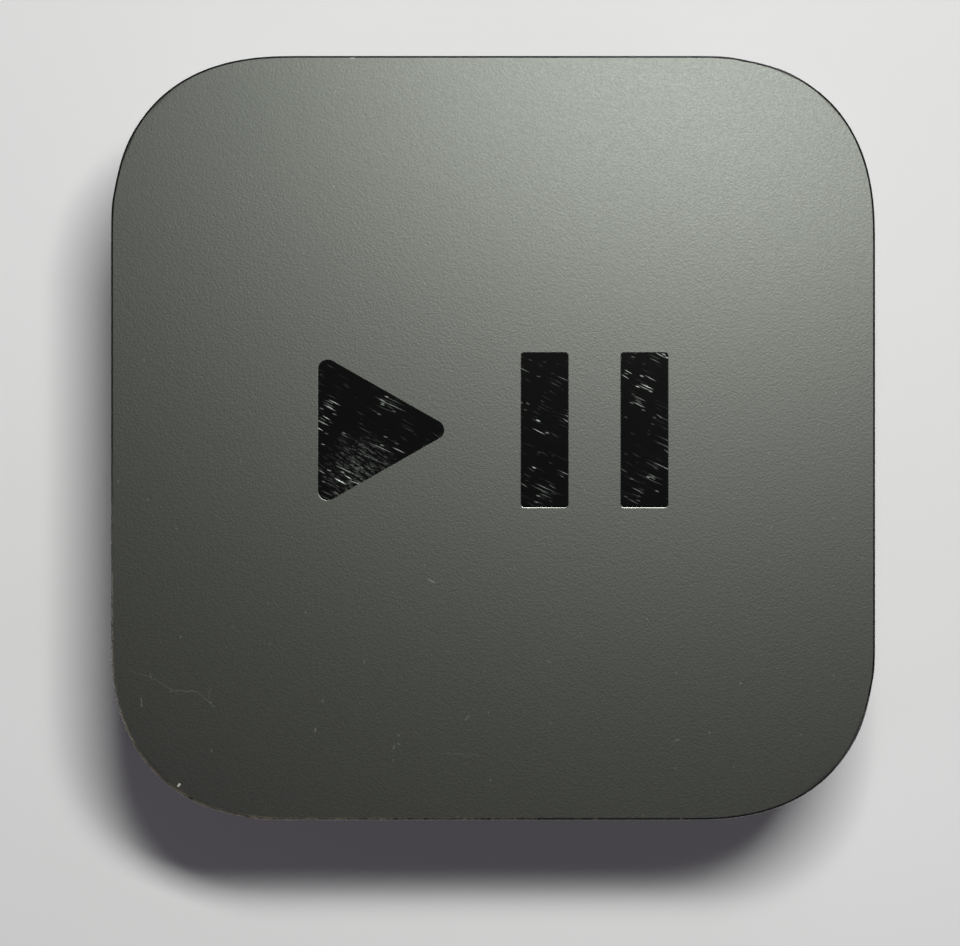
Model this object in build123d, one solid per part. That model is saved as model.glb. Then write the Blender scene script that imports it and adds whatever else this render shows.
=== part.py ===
"""A flat square streaming media player with a cooling fan, built as separate pieces.

The frame is +Z up, with the origin under the middle of the case on the surface it stands on.
The sockets are in the +Y wall and the status light is in the -Y wall. Sizes are in millimetres.
"""

import math
import os

from build123d import *

# ------------------------------------------------------------------ driving dimensions

# Case
case_side = 98.0
case_height = 35.0
corner_zone = 23.6  # length of a side that each rounded corner takes
corner_power = 2.45  # superellipse power of the corners; 2 would be a plain arc
wall = 2.0
top_edge_radius = 0.35
base_edge_radius = 3.6
lip_width = 3.7  # how far the lip round the base opening reaches in from the inner wall
lip_thickness = 2.0

# Generic play and pause mark, polished into the top
mark_height = 20.0
mark_rise = 1.0  # how far its middle stands behind the middle of the case
play_width = 17.6
play_round = 1.3
play_to_pause = 8.4
bar_width = 6.2
bar_gap = 6.6
bar_round = 0.5
mark_depth = 0.15
mark_draft = 30.0  # degrees

# Base cover and feet
foot_height = 1.2
foot_key = 0.4  # how deep the pads sit in the cover
foot_inset = 13.0  # from the case's side to the pads
foot_hole_margin = 2.0  # from the intake slots to the pads' inner arcs
air_channel = 10.0
centre_disc_margin = 1.5  # from the centre disc to the intake slots
centre_disc_rise = 0.5
centre_disc_round = 0.35
edge_break = 0.3  # on the lower edges of the cover, the pads and the fan's inlet
slot_round_share = 0.45  # of a slot's width; half would leave no straight end
intake_inset = 6.0  # from the fan's rim to the outer ends of the intake slots
intake_length = 6.0
intake_slots = 40
intake_slot_width = 1.6
exhaust_inset = 7.6  # from the case's side to the outer end of an exhaust slot
exhaust_length = 3.8
exhaust_width = 1.8
exhaust_pitch = 3.2
exhaust_per_group = 5
exhaust_group_offset = 15.0
hook_width = 6.0
hook_thickness = 1.2
hook_barb = 0.8
hook_height = 1.5
hook_offset = 31.0
hook_play = 0.1  # between a hook and the lip that it catches on
hook_lead_share = 0.7  # of the barb's reach that its sloped top takes

# Fan
fan_clearance = 0.8  # between the base cover and the fan, filled by the foam seal
fan_depth = 6.8
fan_radius = 31.0
fan_plate = 0.9
fan_cover_thickness = 0.5
fan_cover_width = 7.5  # from the fan's rim to its inlet
fan_ports = 8
fan_port_width = 14.0
guide_thickness = 1.0
ear_reach = 5.0  # from the fan's rim to the middle of each of its four screw ears
ear_radius = 3.0
ear_gap = 0.6  # between an ear and the fins round it
blade_count = 31
blade_inner = 18.0
blade_gap = 2.5  # between the blades' tips and the walls between the outlets
blade_thickness = 0.7
blade_sweep = 24.0  # degrees
hub_radius = 12.8
hub_wall = 0.8
hub_face = 0.7
hub_round = 0.5
boss_radius = 1.8
boss_gap = 0.3  # between the hub's boss and the bearing
shaft_seat = 0.3  # of hub under the shaft's end
blade_lift = 0.2  # of the blades' lower edges above the hub's face
rotor_gap = 0.4  # between the rotor and what is above and below it
web_thickness = 0.6
shaft_radius = 0.75
running_gap = 0.03
bearing_radius = 2.4
bearing_length = 3.0
bearing_wall = 0.8
magnet_wall = 1.2
magnet_inset = 0.1  # of the magnet and its yoke below the hub's rim
yoke_wall = 0.63
air_gap = 0.5
stator_drop = 1.8  # from the rotor's top to the underside of the stator's iron
stator_height = 1.4
stator_ring = 1.6
shoe_thickness = 0.9
shoe_slot = 1.8
stator_arms = 6
arm_width = 1.4
coil_build = 0.9
coil_overhang = 0.6
coil_round = 0.45
coil_gap = 0.15  # between a coil and the iron at its two ends
fan_board_thickness = 0.4
fan_board_tail = 7.2
contact_pitch = 1.8
contact_count = 4
contact_inset = 5.0  # from the fan's rim to the row of contact pins
contact_radius = 0.4
contact_hole_radius = 0.6
contact_block_depth = 2.8
contact_block_margin = 0.6
contact_travel = 1.2  # of each pin between its block and the logic board
contact_window = 0.5  # all round the block, through the heat sink
seal_inset = 2.5  # from the fan's rim to the foam seal
seal_width = 2.3

# Heat sink
sink_plate = 2.4
sink_inset = 4.0  # from the inner wall
sink_root = 0.5  # how far fins and pads run into the plate
fin_count = 48
fin_thickness = 1.2
fin_gap = 2.0  # between the fan's rim and the fins
fin_inset = 1.0  # from the plate's edge to the fins' outer ends
fin_short = 5.2  # how much shorter than the fan's depth the fins stop from the fan's underside
pad_thickness = 0.5
processor_height = 1.1
processor_side = 15.0
processor_base = 0.7  # thickness of its substrate
processor_margin = 1.0  # of the substrate round the die cap
processor_spot = (0.0, 4.0)

# Logic board
board_thickness = 1.2
chip_height = 1.0
can_side = (26.0, 20.0)
can_height = 1.6
can_wall = 0.25
can_spot = (8.0, -16.0)
memory_size = (9.0, 12.0)
memory_pitch = 12.0
package_round = 0.6
chip_dot = (0.3, 0.1)  # radius and depth
chip_dot_inset = 0.8
power_chip = (-12.0, 24.0, 7.0, 7.0)  # middle, width and depth, here and below
video_chip = (3.0, 24.0, 6.0, 6.0)
audio_chip = (14.0, 12.0, 5.0, 5.0)
network_chip = (-10.0, 8.0, 5.0, 6.0)
clock_chip = (20.0, -2.0, 4.0, 5.0)
driver_chip = (-14.0, -6.0, 4.0, 4.0)
inductor_count = 4
inductor_side = 3.6
inductor_height = 1.5
inductor_pitch = 5.2
inductor_spot = (20.0, 24.0)
capacitor_size = (0.9, 1.7, 0.9)
capacitor_pitch = 2.2
front_capacitors = (-20.0, -30.0, 8)  # first one's middle, and how many, here and below
rear_capacitors = (-2.0, 16.5, 7)
middle_capacitors = (-17.0, 0.0, 3)
right_capacitors = (28.0, -14.0, 3)
left_capacitors = (-36.0, -14.0, 2)
wireless_spot = (-15.0, -19.0)
wireless_size = (13.0, 11.0, 1.5)
antenna_inset = 1.6  # from the board's side
antenna_length = 18.0
antenna_middle = -6.0
antenna_thickness = 0.4
antenna_strip = (3.6, 5.6)  # how far its lower and upper edges stand over the board
antenna_feet = ((-14.2, 1.6), (-10.2, 1.2))  # place along the board, and width
magnetics_spot = (-36.0, 12.0)
magnetics_size = (8.6, 14.0, 4.4)

# Screws and posts
case_screw_radius = 1.25
case_screw_grip = 7.0
small_screw_radius = 1.0
power_screw_grip = 4.5
post_screw_grip = 2.4
head_height = 1.1
head_over = 1.1  # how much wider than its shank a head is, in radius
socket_depth = 0.6
screw_clearance = 0.3
thread_gap = 0.02
screw_runout = 0.4  # of blind hole left beyond a screw's tip
post_wall = 1.9
post_inset = 12.0  # from the inner wall to a case post
rib_thickness = 1.2
rib_height = 9.0

# Sockets, all on one level
port_recess = 0.5
port_gap = 0.15
video_x = 0.0
network_x = -20.0
power_x = 20.0
video_level = 2.9  # from the logic board to the middle of the sockets
video_mouth = (14.0, 4.55)
video_cut = (1.5, 1.7)  # width and height of each cut-off lower corner
video_round = 0.3
video_shell = 0.35
video_depth = 11.5
video_tongue = (11.6, 1.3)
video_tongue_rise = 0.35  # of the tongue's middle above the socket's
video_tongue_inset = 0.8  # of its tip behind the socket's face
video_core_depth = 4.0
video_foot = 3.0
video_foot_spot = (5.0, 3.0)  # from the socket's middle, and from its back
video_pins_top = 10
video_pin_pitch = 1.0
video_pin = (0.44, 0.12)
video_pin_inset = 0.5  # of the contacts' tips behind the tongue's
network_body = (15.4, 12.6)
network_shell = 0.3
network_depth = 16.0
network_nose = (13.4, 10.6)
network_round = 1.0
network_mouth = (11.8, 6.8)
network_latch = ((6.4, 1.2), (4.0, 1.2))  # width and height of each step below the mouth
network_cavity = 13.0
network_pins = 8
network_pin_pitch = 1.02
network_pin_drop = 2.1
network_pin = (0.4, 0.35)
network_pin_inset = 2.6  # of the contacts' roots behind the socket's face
network_pin_reach = 7.9
network_tab = (1.6, 3.5)
network_tab_spot = 4.0  # from the shield's back
inlet_body = (19.4, 11.4)
inlet_nose = (17.6, 10.4)
inlet_depth = 12.7
inlet_lobe_radius = 4.4
inlet_waist = 6.6
inlet_cavity = 9.6
inlet_pin_radius = 1.18
inlet_pin_pitch = 8.6
inlet_pin_back = 2.2
inlet_pin_inset = 0.6  # of the pins' tips behind the socket's face
inlet_pin_round = 0.7
inlet_tail = 1.3
inlet_tail_spot = 0.7  # of the tails' middles, from the pins' back ends
inlet_round = 1.0
oval_flat = 0.01  # a hair of straight side at each end of the oval, which its rounding needs

# Power supply
power_room = 9.8  # for its parts, under the top wall
power_board_thickness = 1.4
power_board_x = 30.0
power_board_front = -36.0
power_board_back = 26.0
power_tab = (11.0, 29.0)
tray_floor = 0.5
tray_drop = 1.0
tray_inset = 0.6
tray_rim = 1.0
power_round = 3.0
power_tab_root = 4.0  # how far the tab runs into the board
tail_stand = 0.8  # of soldered pins above the power board
transformer_spot = (-8.0, -6.0)
transformer_stand = 0.6
ferrite_size = (21.0, 20.0, 8.0)
ferrite_end = 3.0  # of iron at each end of the windows
ferrite_leg = 6.0
ferrite_side = 2.0
ferrite_round = 0.8
winding_build = 4.6
winding_gap = 0.3  # between the winding and the iron at its two ends
winding_round = 1.2
rail_size = (20.0, 2.6)
rail_spot = 8.6
bulk_radius = 4.4
bulk_length = 17.0
bulk_x = 12.0
bulk_rows = (-16.5, -27.0)
bulk_round = 0.6
groove_radius = 0.5
groove_lift = 0.15  # of the groove's middle outside the can
groove_spot = 2.2  # from the can's end
output_radius = 3.9
output_height = 8.8
output_round = 0.5
output_spots = ((-24.0, -13.5), (-13.0, -27.0), (-3.5, -27.0))
film_spot = (2.0, 19.0)
film_size = (15.0, 6.5, 8.4)
film_round = 0.4
disc_spot = (-14.0, 12.5)
disc_radius = 3.6
disc_thickness = 2.6
disc_stand = 0.6
disc_round = 0.9
choke_spot = (20.0, 12.5)
choke_outer = 6.0
choke_inner = 3.2
choke_height = 4.8
choke_stand = 1.4
choke_round = 0.5
turn_count = 7
turn_pitch = 17.0  # degrees
turn_thickness = 0.7
turn_width = 0.72
turn_round = 0.6
fuse_spot = (24.0, 26.2)
fuse_radius = 3.4
fuse_height = 7.0
fuse_round = 0.8
bridge_spot = (4.0, 9.0)
bridge_size = (8.0, 6.4, 2.6)
bridge_chamfer = 0.5
control_spot = (15.0, 1.5)
control_size = (6.0, 5.0, 1.6)
power_post_radius = 2.3
power_pin_radius = 1.0
power_post_spots = ((-24.0, 8.0), (-24.0, -4.0))
power_screw_spots = ((-25.0, 21.0), (25.0, -31.0), (-25.0, -31.0), (25.0, 2.0))

# Status light and remote receiver
light_x = 27.0
receiver_x = 17.0
light_guide_size = (5.0, 4.0)  # width, height
light_guide_depth = 7.1
light_guide_round = 0.4
light_nose_radius = 0.9
light_nose_rise = 2.2  # of the nose's middle above the logic board
light_skin = 0.8  # of case wall left in front of the nose
light_size = (1.8, 1.0, 0.8)
light_inset = 2.2  # from the board's front edge
light_pocket = (2.6, 3.2, 1.2)
receiver_size = (6.0, 3.4, 6.4)
receiver_inset = 3.0
receiver_round = 0.3
receiver_dome = 2.1
receiver_dome_rise = 3.9

# Clearances
body_gap = 0.3  # between neighbours that don't touch
fit_gap = 0.15
tail_gap = 0.1  # round a soldered tail
seat_gap = 0.02
light_gap = 0.1  # round the light guide's nose

# ------------------------------------------------------------------ levels and outlines

case_half = case_side / 2
inner_half = case_half - wall
opening_half = inner_half - lip_width
cover_half = opening_half - fit_gap
sink_half = inner_half - sink_inset
post_spot = inner_half - post_inset

rim_z = foot_height
cover_top = rim_z + lip_thickness
fan_bottom = cover_top + fan_clearance
fan_top = fan_bottom + fan_depth
sink_top = fan_top + sink_plate
board_bottom = sink_top + pad_thickness + processor_height
board_top = board_bottom + board_thickness
port_z = board_top + video_level
inner_top = case_height - wall
power_top = inner_top - power_room
power_bottom = power_top - power_board_thickness
tray_bottom = power_bottom - tray_drop - tray_floor
port_face = case_half - port_recess
socket_front = inner_half - body_gap
inlet_back = socket_front - inlet_depth

fan_plate_bottom = fan_top - fan_plate
fan_cover_top = fan_bottom + fan_cover_thickness
rotor_bottom = fan_cover_top + rotor_gap
rotor_top = fan_plate_bottom - fan_board_thickness - rotor_gap
bearing_bottom = fan_plate_bottom - bearing_length
stator_bottom = rotor_top - stator_drop
yoke_outer = hub_radius - hub_wall - seat_gap
magnet_outer = yoke_outer - yoke_wall - seat_gap
pole_radius = magnet_outer - magnet_wall - air_gap
corners = [(x, y) for x in (-1, 1) for y in (-1, 1)]
ear_spot = fan_radius + ear_reach
contact_spot = fan_radius - contact_inset
fin_inner = fan_radius + fin_gap
fan_inlet_radius = fan_radius - fan_cover_width
blade_outer = fan_radius - guide_thickness - blade_gap
intake_outer = fan_radius - intake_inset
intake_inner = intake_outer - intake_length
centre_disc_radius = intake_inner - centre_disc_margin
foot_hole_radius = intake_outer + foot_hole_margin


def zone_for(half):
    """Length of the corner zone that keeps an outline of this half width parallel to the case."""
    return corner_zone - (case_half - half)


# ------------------------------------------------------------------ shapes used by many pieces


def squircle(half, count=9):
    """Square face whose corners are superellipse curves, so they flow into the sides."""
    zone = zone_for(half)
    middle = half - zone
    power = 2 / corner_power
    angles = [math.pi / 2 * i / (count - 1) for i in range(count)]
    points = []
    for angle in angles:
        across = max(math.cos(angle), 0.0) ** power
        along = max(math.sin(angle), 0.0) ** power
        points.append((middle + zone * across, middle + zone * along))
    points[0] = (half, middle)
    points[-1] = (middle, half)
    edges = []
    for turn in range(4):
        corner = Spline(*points, tangents=[(0, 1), (-1, 0)])
        side = Line((middle, half), (-middle, half))
        edges.append(corner.edge().rotate(Axis.Z, 90 * turn))
        edges.append(side.edge().rotate(Axis.Z, 90 * turn))
    return Face(Wire(edges))


def slab(face, low, high):
    """Upright solid of this outline between two levels."""
    return Pos(0, 0, low) * extrude(face, amount=high - low, dir=(0, 0, 1))


def block(x0, x1, y0, y1, z0, z1):
    """Box between two corners."""
    middle = Pos((x0 + x1) / 2, (y0 + y1) / 2, (z0 + z1) / 2)
    return middle * Box(abs(x1 - x0), abs(y1 - y0), abs(z1 - z0))


def standing(x, y, width, depth, low, high):
    """Box of this plan size, centred on a spot, between two levels."""
    return block(x - width / 2, x + width / 2, y - depth / 2, y + depth / 2, low, high)


def round_bar(radius, low, high, x=0.0, y=0.0):
    """Upright cylinder between two levels."""
    return Pos(x, y, (low + high) / 2) * Cylinder(radius, high - low)


def tube(outer, inner, low, high, x=0.0, y=0.0):
    """Upright tube between two levels."""
    return round_bar(outer, low, high, x, y) - round_bar(inner, low - 1, high + 1, x, y)


def lying_bar(radius, y0, y1, x, z):
    """Cylinder along Y."""
    return Pos(x, (y0 + y1) / 2, z) * Rot(90, 0, 0) * Cylinder(radius, abs(y1 - y0))


def wall_shape(sketch, y0, y1, x, z):
    """Solid with an outline drawn in the XZ plane, reaching from y0 to y1."""
    face = Pos(x, y1, z) * Rot(90, 0, 0) * sketch
    return extrude(face, amount=abs(y1 - y0), dir=(0, -1, 0))


def screw(radius, head_low, shank_top, x, y):
    """Screw with its head down and a six-lobed socket."""
    head_radius = radius + head_over
    head = round_bar(head_radius, head_low, head_low + head_height, x, y)
    head = chamfer(head.edges().group_by(Axis.Z)[0], head_height / 5)
    body = head + round_bar(radius, head_low + head_height, shank_top, x, y)
    body = chamfer(body.edges().group_by(Axis.Z)[-1], radius / 4)
    for turn in range(3):
        lobe = Box(radius * 1.5, radius * 0.45, 2 * socket_depth)
        body -= Pos(x, y, head_low) * Rot(0, 0, 60 * turn) * lobe
    return body


def save(name, *shapes):
    """Write one sub-part, of one or more separate solids, to its STEP file."""
    solids = [solid for shape in shapes for solid in shape.solids()]
    export_step(solids[0] if len(solids) == 1 else Compound(children=solids), f"parts/{name}.step")


# ------------------------------------------------------------------ case


def rounded_triangle():
    """Play triangle, pointing to +X, centred on its box, with rounded corners."""
    half = play_width / 2
    corners_of_it = [(-half, -mark_height / 2), (half, 0), (-half, mark_height / 2)]
    face = make_face(Polyline(*corners_of_it, close=True))
    return fillet(face.vertices(), play_round)


def mark_faces():
    """The three faces of the mark, in the XY plane: a play triangle and two pause bars."""
    total = play_width + play_to_pause + 2 * bar_width + bar_gap
    play_x = -total / 2 + play_width / 2
    first = -total / 2 + play_width + play_to_pause + bar_width / 2
    bar = RectangleRounded(bar_width, mark_height, bar_round)
    faces = [Pos(play_x, mark_rise) * rounded_triangle()]
    for x in (first, first + bar_width + bar_gap):
        faces.append(Pos(x, mark_rise) * bar)
    return faces


def video_outline(grow=0.0):
    """Mouth of the video socket: a rectangle with its lower corners cut off, grown all round."""
    half_x = video_mouth[0] / 2 + grow
    half_z = video_mouth[1] / 2 + grow
    slope = math.hypot(*video_cut)
    cut_x = video_cut[0] + grow * (1 - (slope - video_cut[0]) / video_cut[1])
    cut_z = video_cut[1] + grow * (1 - (slope - video_cut[1]) / video_cut[0])
    points = [
        (-half_x, half_z),
        (-half_x, -half_z + cut_z),
        (-half_x + cut_x, -half_z),
        (half_x - cut_x, -half_z),
        (half_x, -half_z + cut_z),
        (half_x, half_z),
    ]
    face = make_face(Polyline(*points, close=True))
    return fillet(face.vertices(), video_round + grow)


def inlet_outline():
    """Figure-of-eight cavity of the mains inlet."""
    lobe = Circle(inlet_lobe_radius)
    spread = inlet_pin_pitch / 2
    return Pos(-spread, 0) * lobe + Pos(spread, 0) * lobe + Rectangle(inlet_pin_pitch, inlet_waist)


def port_openings():
    """The holes in the rear wall that the three sockets reach through."""
    far = case_half + 1
    near = inner_half - wall
    video = wall_shape(video_outline(video_shell + port_gap), near, far, video_x, port_z)
    nose = RectangleRounded(
        network_nose[0] + 2 * port_gap, network_nose[1] + 2 * port_gap, network_round + port_gap
    )
    network = wall_shape(nose, near, far, network_x, port_z)
    round_end = inlet_nose[1] / 2 - oval_flat
    oval = RectangleRounded(
        inlet_nose[0] + 2 * port_gap, inlet_nose[1] + 2 * port_gap, round_end + port_gap
    )
    power = wall_shape(oval, near, far, power_x, port_z)
    return [video, network, power]


def housing():
    """Shell: top and side walls in one moulding, with posts that hang from the top."""
    body = slab(squircle(case_half), rim_z, case_height)
    body = fillet(body.edges().group_by(Axis.Z)[-1], top_edge_radius)
    body = fillet(body.edges().group_by(Axis.Z)[0], base_edge_radius)
    body -= slab(squircle(inner_half), cover_top, inner_top)
    body -= slab(squircle(opening_half), 0, cover_top)
    middle_of_wall = slab(squircle(inner_half + wall / 2), cover_top, inner_top + wall / 2)
    post_radius = case_screw_radius + post_wall
    for side_x, side_y in corners:
        x = side_x * post_spot
        y = side_y * post_spot
        post = round_bar(post_radius, board_top, inner_top + wall / 2, x, y)
        rib_x = block(x, side_x * case_half, y - rib_thickness / 2, y + rib_thickness / 2,
                      inner_top - rib_height, inner_top + wall / 2)
        rib_y = block(x - rib_thickness / 2, x + rib_thickness / 2, y, side_y * case_half,
                      inner_top - rib_height, inner_top + wall / 2)
        body += (post + rib_x + rib_y) & middle_of_wall
        depth = case_screw_grip + screw_runout
        body -= round_bar(case_screw_radius + thread_gap, board_top - 1, board_top + depth, x, y)
    for x, y in power_screw_spots:
        body += round_bar(small_screw_radius + post_wall, power_top, inner_top + wall / 2, x, y)
        depth = power_screw_grip + screw_runout
        body -= round_bar(small_screw_radius + thread_gap, power_top - 1, power_top + depth, x, y)
    for opening in port_openings():
        body -= opening
    light_hole = light_nose_radius + light_gap
    body -= lying_bar(light_hole, -inner_half + wall, -case_half + light_skin, light_x, light_level())
    for face in mark_faces():
        sunk = extrude(Pos(0, 0, case_height) * face, amount=mark_depth, dir=(0, 0, -1), taper=mark_draft)
        body -= sunk
    return body


def foot_outline(grow=0.0):
    """Plan of the four corner pads: a ring, open inside, crossed by two air channels."""
    half = case_half - foot_inset + grow
    channel = air_channel / 2 - grow
    ring = squircle(half) - Circle(foot_hole_radius - grow)
    ring -= Rectangle(4 * half, 2 * channel)
    ring -= Rectangle(2 * channel, 4 * half)
    return ring


def foot_pads():
    """Four soft pads that the case stands on."""
    pads = []
    for face in foot_outline().faces():
        pad = slab(face, 0, rim_z + foot_key)
        pads.append(fillet(pad.edges().group_by(Axis.Z)[0], edge_break))
    return pads


def exhaust_slots():
    """Eight groups of slots along the cover's edge, two groups to a side."""
    slots = []
    outer = case_half - exhaust_inset
    inner = outer - exhaust_length
    for turn in range(4):
        for group in (-exhaust_group_offset, exhaust_group_offset):
            for number in range(exhaust_per_group):
                along = group + (number - (exhaust_per_group - 1) / 2) * exhaust_pitch
                slot = standing(along, (outer + inner) / 2, exhaust_width, exhaust_length,
                                rim_z - 1, cover_top + 1)
                slot = fillet(slot.edges().filter_by(Axis.Z), exhaust_width * slot_round_share)
                slots.append(slot.rotate(Axis.Z, 90 * turn))
    return slots


def intake_openings():
    """Radial slots in a ring round the centre disc."""
    slots = []
    middle = (intake_inner + intake_outer) / 2
    for number in range(intake_slots):
        slot = standing(middle, 0, intake_outer - intake_inner, intake_slot_width, rim_z - 1, cover_top + 1)
        slot = fillet(slot.edges().filter_by(Axis.Z), intake_slot_width * slot_round_share)
        slots.append(slot.rotate(Axis.Z, 360 / intake_slots * number))
    return slots


def base_cover():
    """Bottom cover with its air slots, pad seats and snap hooks."""
    cover = slab(squircle(cover_half), rim_z, cover_top)
    cover = fillet(cover.edges().group_by(Axis.Z)[0], edge_break)
    disc = round_bar(centre_disc_radius, rim_z - centre_disc_rise, rim_z + centre_disc_rise)
    disc = fillet(disc.edges().group_by(Axis.Z)[0], centre_disc_round)
    cover += disc
    cover -= slab(foot_outline(seat_gap), rim_z - 1, rim_z + foot_key)
    cover -= exhaust_slots()
    cover -= intake_openings()
    for turn in range(4):
        for along in (-hook_offset / 2, hook_offset / 2):
            inner = cover_half - hook_thickness
            top = cover_top + hook_height
            stem = standing(along, cover_half - hook_thickness / 2, hook_width, hook_thickness,
                            rim_z + foot_key, top)
            barb = block(along - hook_width / 2, along + hook_width / 2, inner, cover_half + hook_barb,
                         cover_top + hook_play, top)
            tip = barb.edges().filter_by(Axis.X).sort_by(Axis.Y)[-2:].sort_by(Axis.Z)[-1]
            hook = stem + chamfer(tip, hook_barb * hook_lead_share)
            cover += hook.rotate(Axis.Z, 90 * turn)
    return cover


def intake_seal():
    """Foam ring that keeps intake air apart from exhaust air."""
    outer = fan_radius - seal_inset
    return tube(outer, outer - seal_width, cover_top, fan_bottom)


# ------------------------------------------------------------------ fan


def ear_places():
    """Centres of the four screw ears."""
    along = ear_spot / math.sqrt(2)
    return [(x * along, y * along) for x, y in corners]


def fan_ears(grow, low, high):
    """Four screw ears on their arms, made larger all round by a clearance."""
    ears = []
    for turn in range(4):
        arm = block(blade_outer, ear_spot, -ear_radius - grow, ear_radius + grow, low, high)
        ear = arm + round_bar(ear_radius + grow, low, high, ear_spot, 0)
        ears.append(ear.rotate(Axis.Z, 45 + 90 * turn))
    return ears


def contact_places():
    """Centres of the contact pins, in a row on the -Y side."""
    first = -(contact_count - 1) / 2 * contact_pitch
    return [(first + number * contact_pitch, -contact_spot) for number in range(contact_count)]


def fan_frame():
    """Fan's upper plate, with a bearing post, screw ears and the walls between its outlets."""
    frame = round_bar(fan_radius, fan_plate_bottom, fan_top)
    frame += fan_ears(0, fan_plate_bottom, fan_top)
    for x, y in ear_places():
        frame -= round_bar(small_screw_radius + screw_clearance, fan_bottom, fan_top + 1, x, y)
    guides = tube(fan_radius, fan_radius - guide_thickness, fan_cover_top, fan_plate_bottom)
    for number in range(fan_ports):
        gap = block(blade_outer + blade_gap / 2, 2 * fan_radius, -fan_port_width / 2, fan_port_width / 2,
                    fan_cover_top - 1, fan_plate_bottom)
        guides -= gap.rotate(Axis.Z, 360 / fan_ports * (number + 0.5))
    frame += guides
    frame += tube(bearing_radius + bearing_wall, bearing_radius + seat_gap, bearing_bottom, fan_plate_bottom)
    for x, y in contact_places():
        frame -= round_bar(contact_hole_radius, fan_plate_bottom - 1, fan_top + 1, x, y)
    return frame


def fan_cover():
    """Ring that closes the fan's underside round its inlet."""
    ring = tube(fan_radius, fan_inlet_radius, fan_bottom, fan_cover_top)
    lip = ring.edges().filter_by(GeomType.CIRCLE).sort_by(SortBy.RADIUS)[:2].sort_by(Axis.Z)[0]
    return chamfer(lip, edge_break)


def blade_face():
    """Plan of one backward-curved blade."""
    def at(share, side):
        """Point on one side of the blade, a share of the way from its root to its tip."""
        radius = blade_inner + share * (blade_outer - blade_inner)
        turn = -math.radians(blade_sweep) * share ** 1.5 + side * blade_thickness / 2 / radius
        return (radius * math.cos(turn), radius * math.sin(turn))

    left = ThreePointArc(at(0, 1), at(0.5, 1), at(1, 1))
    right = ThreePointArc(at(1, -1), at(0.5, -1), at(0, -1))
    edges = [left.edge(), Line(at(1, 1), at(1, -1)).edge(), right.edge(), Line(at(0, -1), at(0, 1)).edge()]
    return Face(Wire(edges))


def fan_impeller():
    """Blower wheel: hub, web and curved blades."""
    wheel = round_bar(hub_radius, rotor_bottom, rotor_top)
    wheel -= round_bar(hub_radius - hub_wall, rotor_bottom + hub_face, rotor_top + 1)
    wheel = fillet(wheel.edges().group_by(Axis.Z)[0], hub_round)
    boss_top = bearing_bottom - boss_gap
    wheel += round_bar(boss_radius, rotor_bottom + shaft_seat, boss_top)
    wheel -= round_bar(shaft_radius + seat_gap / 2, rotor_bottom + shaft_seat, boss_top + 1)
    web = tube(blade_outer, hub_radius - hub_wall / 2, rotor_top - web_thickness, rotor_top)
    blades = []
    blade = slab(blade_face(), rotor_bottom + blade_lift, rotor_top - web_thickness / 2)
    for number in range(blade_count):
        blades.append(blade.rotate(Axis.Z, 360 / blade_count * number))
    return wheel + web + blades


def fan_shaft():
    """Steel shaft, pressed into the hub."""
    shaft = round_bar(shaft_radius, rotor_bottom + shaft_seat, fan_plate_bottom - rotor_gap)
    return chamfer(shaft.edges().filter_by(GeomType.CIRCLE), shaft_radius / 5)


def fan_bearing():
    """Sintered sleeve bearing."""
    sleeve = tube(bearing_radius, shaft_radius + running_gap, bearing_bottom, fan_plate_bottom)
    return sleeve


def fan_yoke():
    """Steel ring that backs the magnet."""
    return tube(yoke_outer, yoke_outer - yoke_wall, rotor_bottom + hub_face, rotor_top - magnet_inset)


def fan_magnet():
    """Ring magnet inside the hub."""
    return tube(magnet_outer, magnet_outer - magnet_wall, rotor_bottom + hub_face, rotor_top - magnet_inset)


def stator_levels():
    """Underside and top of the stator's iron."""
    return stator_bottom, stator_bottom + stator_height


def fan_stator_core():
    """Laminated iron with an arm and a pole shoe for each coil."""
    low, high = stator_levels()
    shoes = tube(pole_radius, pole_radius - shoe_thickness, low, high)
    for number in range(stator_arms):
        gap = block(pole_radius / 2, pole_radius + 1, -shoe_slot / 2, shoe_slot / 2, low - 1, high + 1)
        shoes -= gap.rotate(Axis.Z, 360 / stator_arms * (number + 0.5))
    inner = bearing_radius + bearing_wall + seat_gap
    core = round_bar(inner + stator_ring, low, high)
    for number in range(stator_arms):
        arm = block(inner + stator_ring / 2, pole_radius - shoe_thickness / 2,
                    -arm_width / 2, arm_width / 2, low, high)
        core += arm.rotate(Axis.Z, 360 / stator_arms * number)
    return core + shoes - round_bar(inner, low - 1, high + 1)


def fan_coils():
    """Copper coils, one round each stator arm."""
    low, high = stator_levels()
    inner = bearing_radius + bearing_wall + seat_gap + stator_ring + coil_gap
    outer = pole_radius - shoe_thickness - coil_gap
    coils = []
    half = arm_width / 2
    for number in range(stator_arms):
        coil = block(inner, outer, -half - coil_build, half + coil_build,
                     low - coil_overhang, high + coil_overhang)
        coil = fillet(coil.edges().filter_by(Axis.X), coil_round)
        coil -= block(inner - 1, outer + 1, -half - seat_gap, half + seat_gap, low - seat_gap, high + seat_gap)
        coils.append(coil.rotate(Axis.Z, 360 / stator_arms * number))
    return coils


def fan_board():
    """Thin driver board under the plate, with a tail out to the contact pins."""
    inner = bearing_radius + bearing_wall + fit_gap
    low = fan_plate_bottom - fan_board_thickness
    board = round_bar(pole_radius, low, fan_plate_bottom)
    length = contact_spot - inner
    board += standing(0, -inner - length / 2, fan_board_tail, length, low, fan_plate_bottom)
    board += round_bar(fan_board_tail / 2, low, fan_plate_bottom, 0, -contact_spot)
    return board - round_bar(inner, low - 1, fan_plate_bottom + 1)


def contact_block_plan(grow=0.0):
    """Width and depth of the block that holds the contact pins, grown all round by a clearance."""
    width = contact_count * contact_pitch + 2 * contact_block_margin
    return width + 2 * grow, contact_block_depth + 2 * grow


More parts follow.
